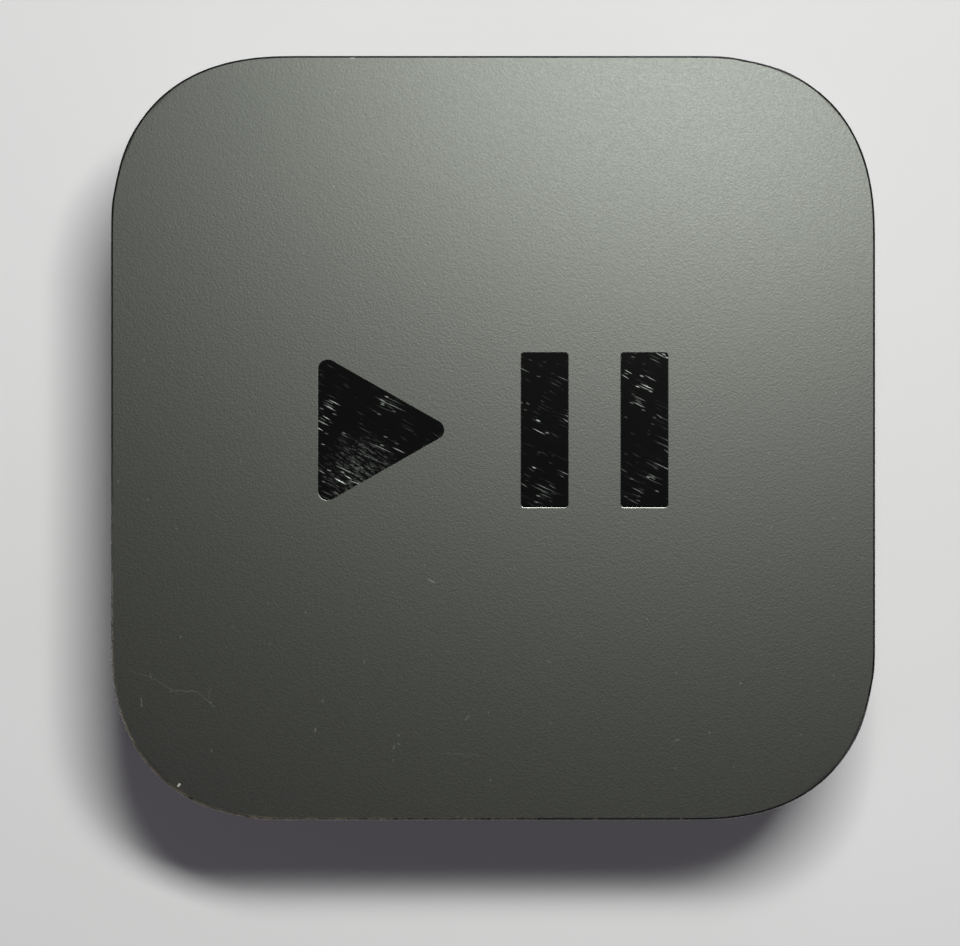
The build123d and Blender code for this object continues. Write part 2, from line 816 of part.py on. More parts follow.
def contact_block():
    """Plastic block that holds the contact pins, standing on the fan's plate."""
    width, depth = contact_block_plan()
    body = standing(0, -contact_spot, width, depth, fan_top, board_bottom - contact_travel)
    body = fillet(body.edges().filter_by(Axis.Z), contact_block_margin / 2)
    for x, y in contact_places():
        body -= round_bar(contact_radius + seat_gap, fan_top - 1, board_bottom, x, y)
    return body


def contact_pins():
    """Sprung pins that carry power from the logic board down to the fan."""
    pins = []
    for x, y in contact_places():
        pin = round_bar(contact_radius, fan_plate_bottom, board_bottom, x, y)
        pins.append(fillet(pin.edges().group_by(Axis.Z)[-1], contact_radius * 0.6))
    return pins


def fan_screws():
    """Four screws that hold the fan to the heat sink."""
    head_low = fan_plate_bottom - head_height
    return [screw(small_screw_radius, head_low, sink_top - screw_runout, x, y) for x, y in ear_places()]


# ------------------------------------------------------------------ heat sink


def socket_clearances(low, high):
    """Boxes kept free behind the rear wall for the network and power sockets."""
    network_half = network_body[0] / 2 + network_shell + body_gap
    inlet_half = inlet_body[0] / 2 + body_gap
    network_room = socket_front - network_depth - body_gap
    inlet_room = inlet_back - inlet_pin_back - body_gap
    boxes = [block(network_x - network_half, network_x + network_half, network_room, case_half, low, high)]
    boxes.append(block(power_x - inlet_half, power_x + inlet_half, inlet_room, case_half, low, high))
    return boxes


def heat_sink():
    """Cast plate over the fan, with radial fins that hang round it."""
    outline = squircle(sink_half)
    sink = slab(outline, fan_top, sink_top)
    fin_low = fan_top - fin_short
    envelope = slab(squircle(sink_half - fin_inset), fin_low, fan_top + sink_root)
    for number in range(fin_count):
        fin = block(fin_inner, 2 * sink_half, -fin_thickness / 2, fin_thickness / 2,
                    fin_low, fan_top + sink_root)
        sink += fin.rotate(Axis.Z, 360 / fin_count * (number + 0.5)) & envelope
    sink -= fan_ears(ear_gap, fin_low - 1, fan_top)
    for x, y in ear_places():
        sink -= round_bar(small_screw_radius + thread_gap, fan_top - 1, sink_top + 1, x, y)
    head_room = case_screw_radius + head_over + screw_clearance
    for side_x, side_y in corners:
        x = side_x * post_spot
        y = side_y * post_spot
        sink += round_bar(case_screw_radius + post_wall, sink_top - sink_root, board_bottom, x, y)
        sink -= round_bar(head_room, fin_low - 1, fan_top, x, y)
        sink -= round_bar(case_screw_radius + screw_clearance, fan_top - 1, board_bottom + 1, x, y)
    width, depth = contact_block_plan(contact_window)
    sink -= standing(0, -contact_spot, width, depth, fin_low, sink_top + 1)
    for box in socket_clearances(fin_low - 1, board_bottom + 1):
        sink -= box
    return sink


def thermal_pad():
    """Soft pad between the processor and the heat sink."""
    x, y = processor_spot
    return standing(x, y, processor_side, processor_side, sink_top, sink_top + pad_thickness)


def case_screws():
    """Four long screws, through the heat sink and the logic board into the case posts."""
    head_low = fan_top - head_height
    top = board_top + case_screw_grip
    return [screw(case_screw_radius, head_low, top, x * post_spot, y * post_spot) for x, y in corners]


# ------------------------------------------------------------------ logic board and its parts


def logic_board():
    """Board of the case's own outline, notched for the two deep sockets."""
    board = slab(squircle(sink_half), board_bottom, board_top)
    for box in socket_clearances(board_bottom - 1, board_top + 1):
        board -= box
    for x, y in corners:
        board -= round_bar(case_screw_radius + screw_clearance, 0, case_height, x * post_spot, y * post_spot)
    for x, y in power_post_spots:
        board -= round_bar(small_screw_radius + screw_clearance, 0, case_height, x, y)
    return board


def processor():
    """Main processor, on the underside of the board: a substrate with a raised die cap."""
    x, y = processor_spot
    low = board_bottom - processor_height
    cap_side = processor_side - 2 * processor_margin
    package = standing(x, y, processor_side, processor_side, board_bottom - processor_base, board_bottom)
    cap = standing(x, y, cap_side, cap_side, low, board_bottom - processor_base / 2)
    return package + fillet(cap.edges().filter_by(Axis.Z), package_round)


def memory_chips():
    """Memory packages inside the shield can."""
    x, y = can_spot
    steps = (-memory_pitch / 2, memory_pitch / 2)
    return [standing(x + step, y, *memory_size, board_top, board_top + chip_height) for step in steps]


def shield_can():
    """Thin tin lid over the memory."""
    x, y = can_spot
    width, depth = can_side
    can = standing(x, y, width, depth, board_top, board_top + can_height)
    can = fillet(can.edges().filter_by(Axis.Z), package_round)
    hollow = standing(x, y, width - 2 * can_wall, depth - 2 * can_wall,
                      board_top - 1, board_top + can_height - can_wall)
    return can - hollow


def board_chips():
    """Smaller packages round the board: power control, network and video drivers."""
    top = board_top + chip_height
    radius, sunk = chip_dot
    chips = []
    for x, y, width, depth in (power_chip, video_chip, audio_chip, network_chip, clock_chip, driver_chip):
        chip = standing(x, y, width, depth, board_top, top)
        dot_x = x - width / 2 + chip_dot_inset
        dot_y = y + depth / 2 - chip_dot_inset
        chips.append(chip - round_bar(radius, top - sunk, top + 1, dot_x, dot_y))
    return chips


def board_inductors():
    """Square power inductors beside the power control chip."""
    chokes = []
    x, y = inductor_spot
    for number in range(inductor_count):
        body = standing(x, y - inductor_pitch * number, inductor_side, inductor_side,
                        board_top, board_top + inductor_height)
        chokes.append(fillet(body.edges().filter_by(Axis.Z), package_round))
    return chokes


def board_capacitors():
    """Rows of small ceramic capacitors."""
    parts = []
    width, depth, height = capacitor_size
    rows = (front_capacitors, rear_capacitors, middle_capacitors, right_capacitors, left_capacitors)
    for x, y, count in rows:
        for number in range(count):
            parts.append(standing(x + capacitor_pitch * number, y, width, depth, board_top, board_top + height))
    return parts


def wireless_module():
    """Shielded radio module."""
    width, depth, height = wireless_size
    body = standing(*wireless_spot, width, depth, board_top, board_top + height)
    return fillet(body.edges().filter_by(Axis.Z), package_round)


def antennas():
    """Two stamped antennas that stand along the sides of the board."""
    shapes = []
    low, high = antenna_strip
    for side in (-1, 1):
        x = side * (sink_half - antenna_inset)
        bar = standing(x, antenna_middle, antenna_thickness, antenna_length, board_top + low, board_top + high)
        for y, width in antenna_feet:
            bar += standing(x, y, antenna_thickness, width, board_top, board_top + (low + high) / 2)
        shapes.append(bar)
    return shapes


def network_magnetics():
    """Isolating transformer block of the network port."""
    width, depth, height = magnetics_size
    body = standing(*magnetics_spot, width, depth, board_top, board_top + height)
    return chamfer(body.edges().group_by(Axis.Z)[-1], package_round / 2)


def light_level():
    """Height of the status light's nose."""
    return board_top + light_nose_rise


def status_light():
    """Light-emitting diode at the board's front edge."""
    width, depth, height = light_size
    return standing(light_x, light_inset - sink_half, width, depth, board_top, board_top + height)


def light_guide():
    """Clear block that takes the light to a thin spot in the front wall."""
    width, height = light_guide_size
    front = body_gap - inner_half
    back = front + light_guide_depth
    body = block(light_x - width / 2, light_x + width / 2, front, back, board_top, board_top + height)
    body = fillet(body.edges().filter_by(Axis.Z).sort_by(Axis.Y)[:2], light_guide_round)
    room, depth, rise = light_pocket
    body -= standing(light_x, light_inset - sink_half, room, depth, board_top - 1, board_top + rise)
    nose_tip = light_skin + light_gap - case_half
    return body + lying_bar(light_nose_radius, front + light_guide_round, nose_tip, light_x, light_level())


def remote_receiver():
    """Infrared receiver with a domed lens, behind the front wall."""
    width, depth, height = receiver_size
    y = receiver_inset - sink_half
    body = standing(receiver_x, y, width, depth, board_top, board_top + height)
    body = fillet(body.edges().filter_by(Axis.Z), receiver_round)
    return body + Pos(receiver_x, y - depth / 2, board_top + receiver_dome_rise) * Sphere(receiver_dome)


# ------------------------------------------------------------------ sockets


def video_socket_shell():
    """Folded steel shell of the video socket, with feet on the board."""
    back = port_face - video_depth
    shell = wall_shape(video_outline(video_shell), back, port_face, video_x, port_z)
    shell -= wall_shape(video_outline(), back - 1, port_face + 1, video_x, port_z)
    underside = port_z - video_mouth[1] / 2 - video_shell
    for side in (-1, 1):
        x = video_x + side * video_foot_spot[0]
        y = back + video_foot_spot[1]
        shell += standing(x, y, video_foot, video_foot, board_top, underside + video_shell / 2)
    return shell


def tongue_middle():
    """Level of the middle of the video socket's tongue."""
    return port_z + video_tongue_rise


def video_socket_insert():
    """Plastic core of the video socket: a block that fills the shell's back, and a tongue."""
    back = port_face - video_depth
    core = wall_shape(video_outline(-seat_gap), back, back + video_core_depth, video_x, port_z)
    width, thick = video_tongue
    middle = tongue_middle()
    tongue = block(video_x - width / 2, video_x + width / 2, back + video_core_depth / 2,
                   port_face - video_tongue_inset, middle - thick / 2, middle + thick / 2)
    return core + tongue


def video_socket_contacts():
    """Flat contacts on both faces of the tongue, one fewer below than above."""
    strips = []
    middle = tongue_middle()
    thick = video_tongue[1]
    width, skin = video_pin
    near = port_face - video_depth + video_core_depth
    tip = port_face - video_tongue_inset - video_pin_inset
    for side, count in ((1, video_pins_top), (-1, video_pins_top - 1)):
        for number in range(count):
            x = video_x + (number - (count - 1) / 2) * video_pin_pitch
            face = middle + side * thick / 2
            strips.append(block(x - width / 2, x + width / 2, near, tip, face, face + side * skin))
    return strips


def network_socket_body():
    """Plastic body of the network socket, with a stepped mouth for the plug's latch."""
    front = socket_front
    width, height = network_body
    body = block(network_x - width / 2, network_x + width / 2, front - network_depth + network_shell, front,
                 port_z - height / 2, port_z + height / 2)
    nose = RectangleRounded(*network_nose, network_round)
    body += wall_shape(nose, front - 1, port_face, network_x, port_z)
    top = mouth_top()
    mouth_width, mouth_height = network_mouth
    depth_end = port_face - network_cavity
    body -= block(network_x - mouth_width / 2, network_x + mouth_width / 2, depth_end, case_half + 1,
                  top - mouth_height, top)
    low = top - mouth_height
    for step_width, step_height in network_latch:
        body -= block(network_x - step_width / 2, network_x + step_width / 2, depth_end, case_half + 1,
                      low - step_height, low + step_height / 2)
        low -= step_height
    return body


def mouth_top():
    """Level of the network socket's ceiling, which centres the stepped mouth on the socket."""
    steps = sum(height for _, height in network_latch)
    return port_z + (network_mouth[1] + steps) / 2


def network_socket_shell():
    """Folded steel shield round the network socket, open at the front for its nose."""
    front = socket_front
    back = front - network_depth
    width = network_body[0] / 2 + seat_gap
    height = network_body[1] / 2 + seat_gap
    skin = network_shell
    shell = block(network_x - width - skin, network_x + width + skin, back - skin, front,
                  port_z - height - skin, port_z + height + skin)
    shell -= block(network_x - width, network_x + width, back + skin - seat_gap, front + 1,
                   port_z - height, port_z + height)
    for side in (-1, 1):
        edge = network_x + side * (width + skin / 2)
        near = back + network_tab_spot
        shell += block(edge, edge + side * network_tab[0], near, near + network_tab[1],
                       board_top, board_top + skin)
    return shell


def network_socket_contacts():
    """Sprung contact wires that slope back and down from the socket's ceiling."""
    top = mouth_top()
    front = port_face - network_pin_inset
    tip = front - network_pin_reach
    width, thick = network_pin
    end = top - network_pin_drop
    profile = make_face(Polyline(
        (front, top), (front - 3 * width, top), (tip, end), (tip, end - thick), (front - width, top - thick),
        (front, top - thick), close=True,
    ))
    wires = []
    for number in range(network_pins):
        x = network_x + (number - (network_pins - 1) / 2) * network_pin_pitch
        upright = Plane(origin=(x - width / 2, 0, 0), x_dir=(0, 1, 0), z_dir=(1, 0, 0))
        wires.append(extrude(upright * profile, amount=width, dir=(1, 0, 0)))
    return wires


def power_inlet_body():
    """Plastic body of the mains inlet, with a figure-of-eight cavity."""
    front = socket_front
    width, height = inlet_body
    body = block(power_x - width / 2, power_x + width / 2, front - inlet_depth, front,
                 port_z - height / 2, port_z + height / 2)
    body = fillet(body.edges().filter_by(Axis.Y), inlet_round)
    oval = RectangleRounded(*inlet_nose, inlet_nose[1] / 2 - oval_flat)
    body += wall_shape(oval, front - 1, port_face, power_x, port_z)
    body -= wall_shape(inlet_outline(), port_face - inlet_cavity, case_half + 1, power_x, port_z)
    for side in (-1, 1):
        x = power_x + side * inlet_pin_pitch / 2
        body -= lying_bar(inlet_pin_radius + seat_gap, front - inlet_depth - 1, port_face, x, port_z)
    return body


def power_inlet_pins():
    """Two round pins, whose tails turn up into the power board."""
    back = inlet_back - inlet_pin_back
    pins = []
    for side in (-1, 1):
        x = power_x + side * inlet_pin_pitch / 2
        pin = lying_bar(inlet_pin_radius, back, port_face - inlet_pin_inset, x, port_z)
        pin = fillet(pin.edges().filter_by(GeomType.CIRCLE).sort_by(Axis.Y)[-1], inlet_pin_round)
        tail = standing(x, back + inlet_tail_spot, inlet_tail, inlet_tail, port_z, power_top + tail_stand)
        pins.append(pin + tail)
    return pins


# ------------------------------------------------------------------ power supply


def power_board():
    """Mains board that hangs under the top wall, with a tab that reaches the inlet's tails."""
    edge = inlet_back - body_gap
    board = block(-power_board_x, power_board_x, power_board_front, power_board_back, power_bottom, power_top)
    board = fillet(board.edges().filter_by(Axis.Z), power_round)
    board += block(*power_tab, power_board_back - power_tab_root, edge, power_bottom, power_top)
    for x, y in power_screw_spots:
        board -= round_bar(small_screw_radius + screw_clearance, power_bottom - 1, power_top + 1, x, y)
    for x, y in power_post_spots:
        board -= round_bar(power_pin_radius + seat_gap, power_bottom - 1, power_top + 1, x, y)
    tails = inlet_back - inlet_pin_back + inlet_tail_spot
    hole = inlet_tail + 2 * tail_gap
    for side in (-1, 1):
        x = power_x + side * inlet_pin_pitch / 2
        board -= standing(x, tails, hole, hole, power_bottom - 1, power_top + 1)
    return board


def power_tray():
    """Insulating tray under the power board, open over its soldered side."""
    half = power_board_x - tray_inset
    front = power_board_front + tray_inset
    back = power_board_back - tray_inset
    tray = block(-half, half, front, back, tray_bottom, power_bottom)
    tray = fillet(tray.edges().filter_by(Axis.Z), power_round)
    inner = block(-half + tray_rim, half - tray_rim, front + tray_rim, back - tray_rim,
                  tray_bottom + tray_floor, power_bottom + 1)
    tray -= fillet(inner.edges().filter_by(Axis.Z), power_round - tray_rim)
    for x, y in power_screw_spots:
        tray += round_bar(small_screw_radius + post_wall, tray_bottom, power_bottom, x, y)
        tray -= round_bar(small_screw_radius + screw_clearance, tray_bottom - 1, power_bottom + 1, x, y)
    for x, y in power_post_spots:
        tray -= round_bar(power_post_radius + body_gap, tray_bottom - 1, tray_bottom + tray_floor + 1, x, y)
    return tray


def power_board_screws():
    """Screws through the tray and the power board into the case's posts."""
    head_low = tray_bottom - head_height
    top = power_top + power_screw_grip
    return [screw(small_screw_radius, head_low, top, x, y) for x, y in power_screw_spots]


def power_posts():
    """Brass posts that carry the supply's output to the logic board."""
    posts = []
    for x, y in power_post_spots:
        post = round_bar(power_post_radius, board_top, power_bottom, x, y)
        post += round_bar(power_pin_radius, power_bottom - power_pin_radius, power_top + tail_stand, x, y)
        depth = post_screw_grip + screw_runout
        post -= round_bar(small_screw_radius + thread_gap, board_top - 1, board_top + depth, x, y)
        posts.append(post)
    return posts


def power_post_screws():
    """Screws that clamp the logic board to the brass posts."""
    head_low = board_bottom - head_height
    return [screw(small_screw_radius, head_low, board_top + post_screw_grip, x, y) for x, y in power_post_spots]


def transformer_core():
    """Ferrite frame of the transformer: two legs, two ends and a centre leg."""
    x, y = transformer_spot
    width, depth, height = ferrite_size
    low = power_top + transformer_stand
    core = standing(x, y, width, depth, low, low + height)
    core = fillet(core.edges().filter_by(Axis.Z), ferrite_round)
    room = (width - ferrite_leg) / 2 - ferrite_side
    for side in (-1, 1):
        middle = x + side * (ferrite_leg + room) / 2
        core -= standing(middle, y, room, depth - 2 * ferrite_end, low - 1, low + height + 1)
    return core


def transformer_winding():
    """Taped winding round the transformer's centre leg."""
    x, y = transformer_spot
    low = power_top + transformer_stand
    high = low + ferrite_size[2]
    depth = ferrite_size[1] - 2 * ferrite_end
    winding = standing(x, y, ferrite_leg + 2 * winding_build, depth - 2 * winding_gap, low, high)
    winding = fillet(winding.edges().filter_by(Axis.Z), winding_round)
    return winding - standing(x, y, ferrite_leg + 2 * seat_gap, depth, low - 1, high + 1)


def transformer_bobbin():
    """Pin rails of the transformer, under the two ends of its core."""
    x, y = transformer_spot
    steps = (-1, 1)
    top = power_top + transformer_stand
    return [standing(x, y + side * rail_spot, *rail_size, power_top, top) for side in steps]


def bulk_capacitors():
    """Two electrolytic capacitors that lie on the board."""
    cans = []
    level = power_top + bulk_radius + tail_gap
    for y in bulk_rows:
        can = Pos(bulk_x, y, level) * Rot(0, 90, 0) * Cylinder(bulk_radius, bulk_length)
        can = fillet(can.edges().filter_by(GeomType.CIRCLE), bulk_round)
        groove = Torus(bulk_radius + groove_lift, groove_radius)
        cans.append(can - Pos(bulk_x + bulk_length / 2 - groove_spot, y, level) * Rot(0, 90, 0) * groove)
    return cans


def output_capacitors():
    """Upright capacitors on the low-voltage side."""
    cans = []
    for x, y in output_spots:
        can = round_bar(output_radius, power_top, power_top + output_height, x, y)
        can = fillet(can.edges().group_by(Axis.Z)[-1], output_round)
        groove = Torus(output_radius + groove_lift, groove_radius)
        cans.append(can - Pos(x, y, power_top + groove_spot) * groove)
    return cans


def film_capacitor():
    """Boxed film capacitor across the mains."""
    width, depth, height = film_size
    body = standing(*film_spot, width, depth, power_top, power_top + height)
    return fillet(body.edges().group_by(Axis.Z)[-1], film_round)


def disc_capacitor():
    """Ceramic disc capacitor between the two sides of the supply."""
    level = power_top + disc_stand + disc_radius
    disc = Pos(*disc_spot, level) * Rot(90, 0, 0) * Cylinder(disc_radius, disc_thickness)
    return fillet(disc.edges().filter_by(GeomType.CIRCLE), disc_round)


def choke_core():
    """Ferrite ring of the noise choke."""
    low = power_top + choke_stand
    ring = tube(choke_outer, choke_inner, low, low + choke_height, *choke_spot)
    return fillet(ring.edges().filter_by(GeomType.CIRCLE), choke_round)


def choke_windings():
    """Two banks of turns round the noise choke's ring."""
    turns = []
    low = power_top + choke_stand - tail_gap
    high = low + choke_height + 2 * tail_gap
    inner = choke_inner - tail_gap
    outer = choke_outer + tail_gap
    thick = turn_thickness
    for bank in (90, 270):
        for number in range(turn_count):
            turn = block(inner - thick, outer + thick, -turn_width / 2, turn_width / 2,
                         low - thick, high + thick)
            turn = fillet(turn.edges().filter_by(Axis.Y), turn_round)
            turn -= block(inner, outer, -turn_width, turn_width, low, high)
            angle = bank + (number - (turn_count - 1) / 2) * turn_pitch
            turns.append(Pos(*choke_spot, 0) * turn.rotate(Axis.Z, angle))
    return turns


def fuse():
    """Round fuse next to the inlet."""
    body = round_bar(fuse_radius, power_top, power_top + fuse_height, *fuse_spot)
    return fillet(body.edges().group_by(Axis.Z)[-1], fuse_round)


def rectifier():
    """Bridge rectifier and switching controller."""
    parts = []
    for spot, (width, depth, height) in ((bridge_spot, bridge_size), (control_spot, control_size)):
        body = standing(*spot, width, depth, power_top, power_top + height)
        parts.append(chamfer(body.edges().group_by(Axis.Z)[-1], bridge_chamfer))
    return parts


# ------------------------------------------------------------------ write every sub-part

pieces = {
    "housing": housing,
    "base_cover": base_cover,
    "foot_pads": foot_pads,
    "intake_seal": intake_seal,
    "fan_frame": fan_frame,
    "fan_cover": fan_cover,
    "fan_impeller": fan_impeller,
    "fan_shaft": fan_shaft,
    "fan_bearing": fan_bearing,
    "fan_yoke": fan_yoke,
    "fan_magnet": fan_magnet,
    "fan_stator_core": fan_stator_core,
    "fan_coils": fan_coils,
    "fan_driver_board": fan_board,
    "fan_contact_block": contact_block,
    "fan_contact_pins": contact_pins,
    "fan_screws": fan_screws,
    "heat_sink": heat_sink,
    "thermal_pad": thermal_pad,
    "case_screws": case_screws,
    "logic_board": logic_board,
    "processor": processor,
    "memory_chips": memory_chips,
    "shield_can": shield_can,
    "board_chips": board_chips,
    "board_inductors": board_inductors,
    "board_capacitors": board_capacitors,
    "wireless_module": wireless_module,
    "antennas": antennas,
    "network_magnetics": network_magnetics,
    "status_light": status_light,
    "light_guide": light_guide,
    "remote_receiver": remote_receiver,
    "video_socket_shell": video_socket_shell,
    "video_socket_insert": video_socket_insert,
    "video_socket_contacts": video_socket_contacts,
    "network_socket_body": network_socket_body,
    "network_socket_shell": network_socket_shell,
    "network_socket_contacts": network_socket_contacts,
    "power_inlet_body": power_inlet_body,
    "power_inlet_pins": power_inlet_pins,
    "power_board": power_board,
    "power_tray": power_tray,
    "power_board_screws": power_board_screws,
    "power_posts": power_posts,
    "power_post_screws": power_post_screws,
    "transformer_core": transformer_core,
    "transformer_winding": transformer_winding,
    "transformer_bobbin": transformer_bobbin,
    "bulk_capacitors": bulk_capacitors,
    "output_capacitors": output_capacitors,
    "film_capacitor": film_capacitor,
    "disc_capacitor": disc_capacitor,
    "choke_core": choke_core,
    "choke_windings": choke_windings,
    "fuse": fuse,
    "rectifier": rectifier,
}

os.makedirs("parts", exist_ok=True)
for name, make in pieces.items():
    made = make()
    save(name, *(made if isinstance(made, list) else [made]))
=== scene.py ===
"""Looks of a flat, rounded-square streaming media player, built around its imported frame.

Sizes are in metres unless a name says otherwise, in the frame's own axes: +Z is up, +Y is the
side with the sockets, and the origin is under the middle of the case, on the floor.
"""

import logging
from dataclasses import dataclass, field
from enum import Enum
from typing import Any, Sequence

import bpy
import numpy as np
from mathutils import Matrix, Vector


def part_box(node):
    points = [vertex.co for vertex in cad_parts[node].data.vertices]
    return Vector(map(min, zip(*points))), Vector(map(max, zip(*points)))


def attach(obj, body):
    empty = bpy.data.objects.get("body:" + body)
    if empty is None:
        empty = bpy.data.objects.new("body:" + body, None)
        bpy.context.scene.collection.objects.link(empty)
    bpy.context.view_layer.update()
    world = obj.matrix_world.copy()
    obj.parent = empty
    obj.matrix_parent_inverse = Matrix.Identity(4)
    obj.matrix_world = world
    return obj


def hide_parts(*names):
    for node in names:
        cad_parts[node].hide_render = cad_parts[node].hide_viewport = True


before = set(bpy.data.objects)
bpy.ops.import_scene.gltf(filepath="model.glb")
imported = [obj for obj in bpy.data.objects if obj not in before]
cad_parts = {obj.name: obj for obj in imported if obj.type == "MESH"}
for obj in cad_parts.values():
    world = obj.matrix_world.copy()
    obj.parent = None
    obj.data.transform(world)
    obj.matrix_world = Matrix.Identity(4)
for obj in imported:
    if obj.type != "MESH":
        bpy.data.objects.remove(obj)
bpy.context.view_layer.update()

log = logging.getLogger("media_player")
MM = 0.001
TO_MM = (1 / MM,) * 3
FLAT = (1.0, 1.0, 0.0)  # a factor that drops the height of a place
Array = np.ndarray
Tree = bpy.types.NodeTree
Socket = bpy.types.NodeSocket


class Brushing(Enum):
    """Which way a metal was drawn or rolled, as the stretch of its grain along X, Y and Z."""

    ALONG_X = (0.04, 1.0, 1.0)
    ALONG_Y = (1.0, 0.04, 1.0)
    ALONG_Z = (1.0, 1.0, 0.04)
    NONE = (1.0, 1.0, 1.0)


# ------------------------------------------------------------------ nodes and colours


def linear(code: str) -> tuple[float, float, float, float]:
    """Turn an sRGB hex colour to linear light.

    Args:
        code: six hex digits after a hash sign.

    Returns:
        Red, green and blue in linear light, and an alpha of one.
    """
    parts = np.array([int(code[i:i + 2], 16) for i in (1, 3, 5)]) / 255
    straight = np.where(parts <= 0.04045, parts / 12.92, ((parts + 0.055) / 1.055) ** 2.4)
    return (*map(float, straight), 1.0)


def add(tree: Tree, kind: str, feeds: dict[Any, Any] | None = None, **settings: Any) -> bpy.types.Node:
    """Add a node with its settings, values and links.

    Args:
        tree: the material's node tree.
        kind: the node's type, without the words that all shader nodes start with.
        feeds: input name or number to a value, or to the socket that feeds it.
        settings: the node's own properties.

    Returns:
        The new node.
    """
    node = tree.nodes.new("ShaderNode" + kind)
    for name, value in settings.items():
        setattr(node, name, value)
    for key, value in (feeds or {}).items():
        if isinstance(value, Socket):
            tree.links.new(value, node.inputs[key])
        else:
            node.inputs[key].default_value = value
    return node


@dataclass(frozen=True)
class Ramp:
    """A straight change from one value to another, held level past both ends."""

    low: float
    high: float
    start: float = 0.0
    end: float = 1.0

    def feeds(self, value: Socket) -> dict[int, Any]:
        """What a range-mapping node is fed.

        Args:
            value: what the change follows.

        Returns:
            Input number to value.
        """
        return dict(enumerate((value, self.low, self.high, self.start, self.end)))


def noise_ramp(start: float, end: float) -> Ramp:
    """A change over the part of a noise's range where nearly all of it lies.

    Args:
        start: value at the noise's low end.
        end: value at its high end.

    Returns:
        The change.
    """
    return Ramp(0.3, 0.7, start, end)


# ------------------------------------------------------------------ finishes


@dataclass(frozen=True)
class Finish:
    """A surface with fine relief, a slow drift of colour and an uneven gloss.

    It stands for plain moulded plastic. The other finishes change one or more of its three layers:
    tint, gloss and relief. Every pattern is measured in millimetres on the object, and every method
    that takes a tree and a place has the Args of tint, and Returns one layer or one part of it.
    """

    name: str
    colour: str
    roughness: float = 0.5
    metallic: float = 0.0
    ior: float = 1.5
    coat: float = 0.0
    grain_mm: float = 0.3
    relief_mm: float = 0.004
    drift: float = 0.12
    drift_mm: float = 9.0
    gloss_drift: float = 0.06
    coat_roughness: float = 0.08
    least_roughness: float = 0.02

    def material(self) -> bpy.types.Material:
        """Build the material, or find the one built before.

        Returns:
            The material.
        """
        known = bpy.data.materials.get(self.name)
        if known is not None:
            return known
        made = bpy.data.materials.new(self.name)
        made.use_nodes = True
        tree = made.node_tree
        shader = tree.nodes["Principled BSDF"]
        shader.inputs["Metallic"].default_value = self.metallic
        if self.metallic == 0.0:
            shader.inputs["IOR"].default_value = self.ior
        shader.inputs["Coat Weight"].default_value = self.coat
        shader.inputs["Coat Roughness"].default_value = self.coat_roughness
        place = add(tree, "TexCoord").outputs["Object"]
        at = add(tree, "VectorMath", {0: place, 1: TO_MM}, operation="MULTIPLY").outputs[0]
        tree.links.new(self.tint(tree, at), shader.inputs["Base Color"])
        tree.links.new(self.gloss(tree, at), shader.inputs["Roughness"])
        bump = add(tree, "Bump", {"Height": self.relief(tree, at), "Distance": MM, "Strength": 1.0})
        tree.links.new(bump.outputs[0], shader.inputs["Normal"])
        self.finish(tree, shader, at)
        return made

    def tint(self, tree: Tree, at: Socket) -> Socket:
        """Colour that drifts a little over the piece, as moulded plastic does near its gates.

        Args:
            tree: the material's node tree.
            at: place on the object in millimetres.

        Returns:
            The colour.
        """
        cloud = add(tree, "TexNoise", {"Vector": at, "Scale": 1 / self.drift_mm, "Detail": 3.0}).outputs[0]
        swing = noise_ramp(1 - self.drift, 1 + self.drift)
        light = add(tree, "MapRange", swing.feeds(cloud)).outputs[0]
        return add(tree, "VectorMath", {0: linear(self.colour)[:3], 3: light}, operation="SCALE").outputs[0]

    def gloss(self, tree: Tree, at: Socket) -> Socket:
        """Roughness that varies with handling, in smaller clouds."""
        cloud = add(tree, "TexNoise", {"Vector": at, "Scale": 2.3 / self.drift_mm, "Detail": 4.0}).outputs[0]
        low = max(self.roughness - self.gloss_drift, self.least_roughness)
        swing = noise_ramp(low, self.roughness + self.gloss_drift)
        return add(tree, "MapRange", swing.feeds(cloud)).outputs[0]

    def relief(self, tree: Tree, at: Socket) -> Socket:
        """Height of the surface in millimetres: even grain."""
        grain = add(tree, "TexNoise", {"Vector": at, "Scale": 1 / self.grain_mm, "Detail": 2.0}).outputs[0]
        return add(tree, "Math", {0: grain, 1: self.relief_mm}, operation="MULTIPLY").outputs[0]

    def finish(self, tree: Tree, shader: bpy.types.Node, at: Socket) -> None:
        """Last changes to the shader, for finishes that need them."""

    def dress(self, *pieces: bpy.types.Object) -> None:
        """Give the pieces this finish as their only material.

        Args:
            pieces: mesh objects.
        """
        made = self.material()
        for piece in pieces:
            piece.data.materials.clear()
            piece.data.materials.append(made)


@dataclass(frozen=True)
class Scuff:
    """A scratch or nick on the case's top, in millimetres from the middle of the case."""

    start: tuple[float, float]
    end: tuple[float, float]
    width: float = 0.12
    bright: float = 1.0


@dataclass(frozen=True)
class Ink:
    """A rectangle printed on the rear wall, in millimetres: filled, or only its outline."""

    middle: tuple[float, float]
    half: tuple[float, float]
    line: float = 4.0
    near: float = 0.3


@dataclass(frozen=True)
class Hairlines:
    """Short scratches that all run one way. The way is in radians, and the sizes in millimetres."""

    way: float
    length: float
    width: float
    bright: float
    offset: float


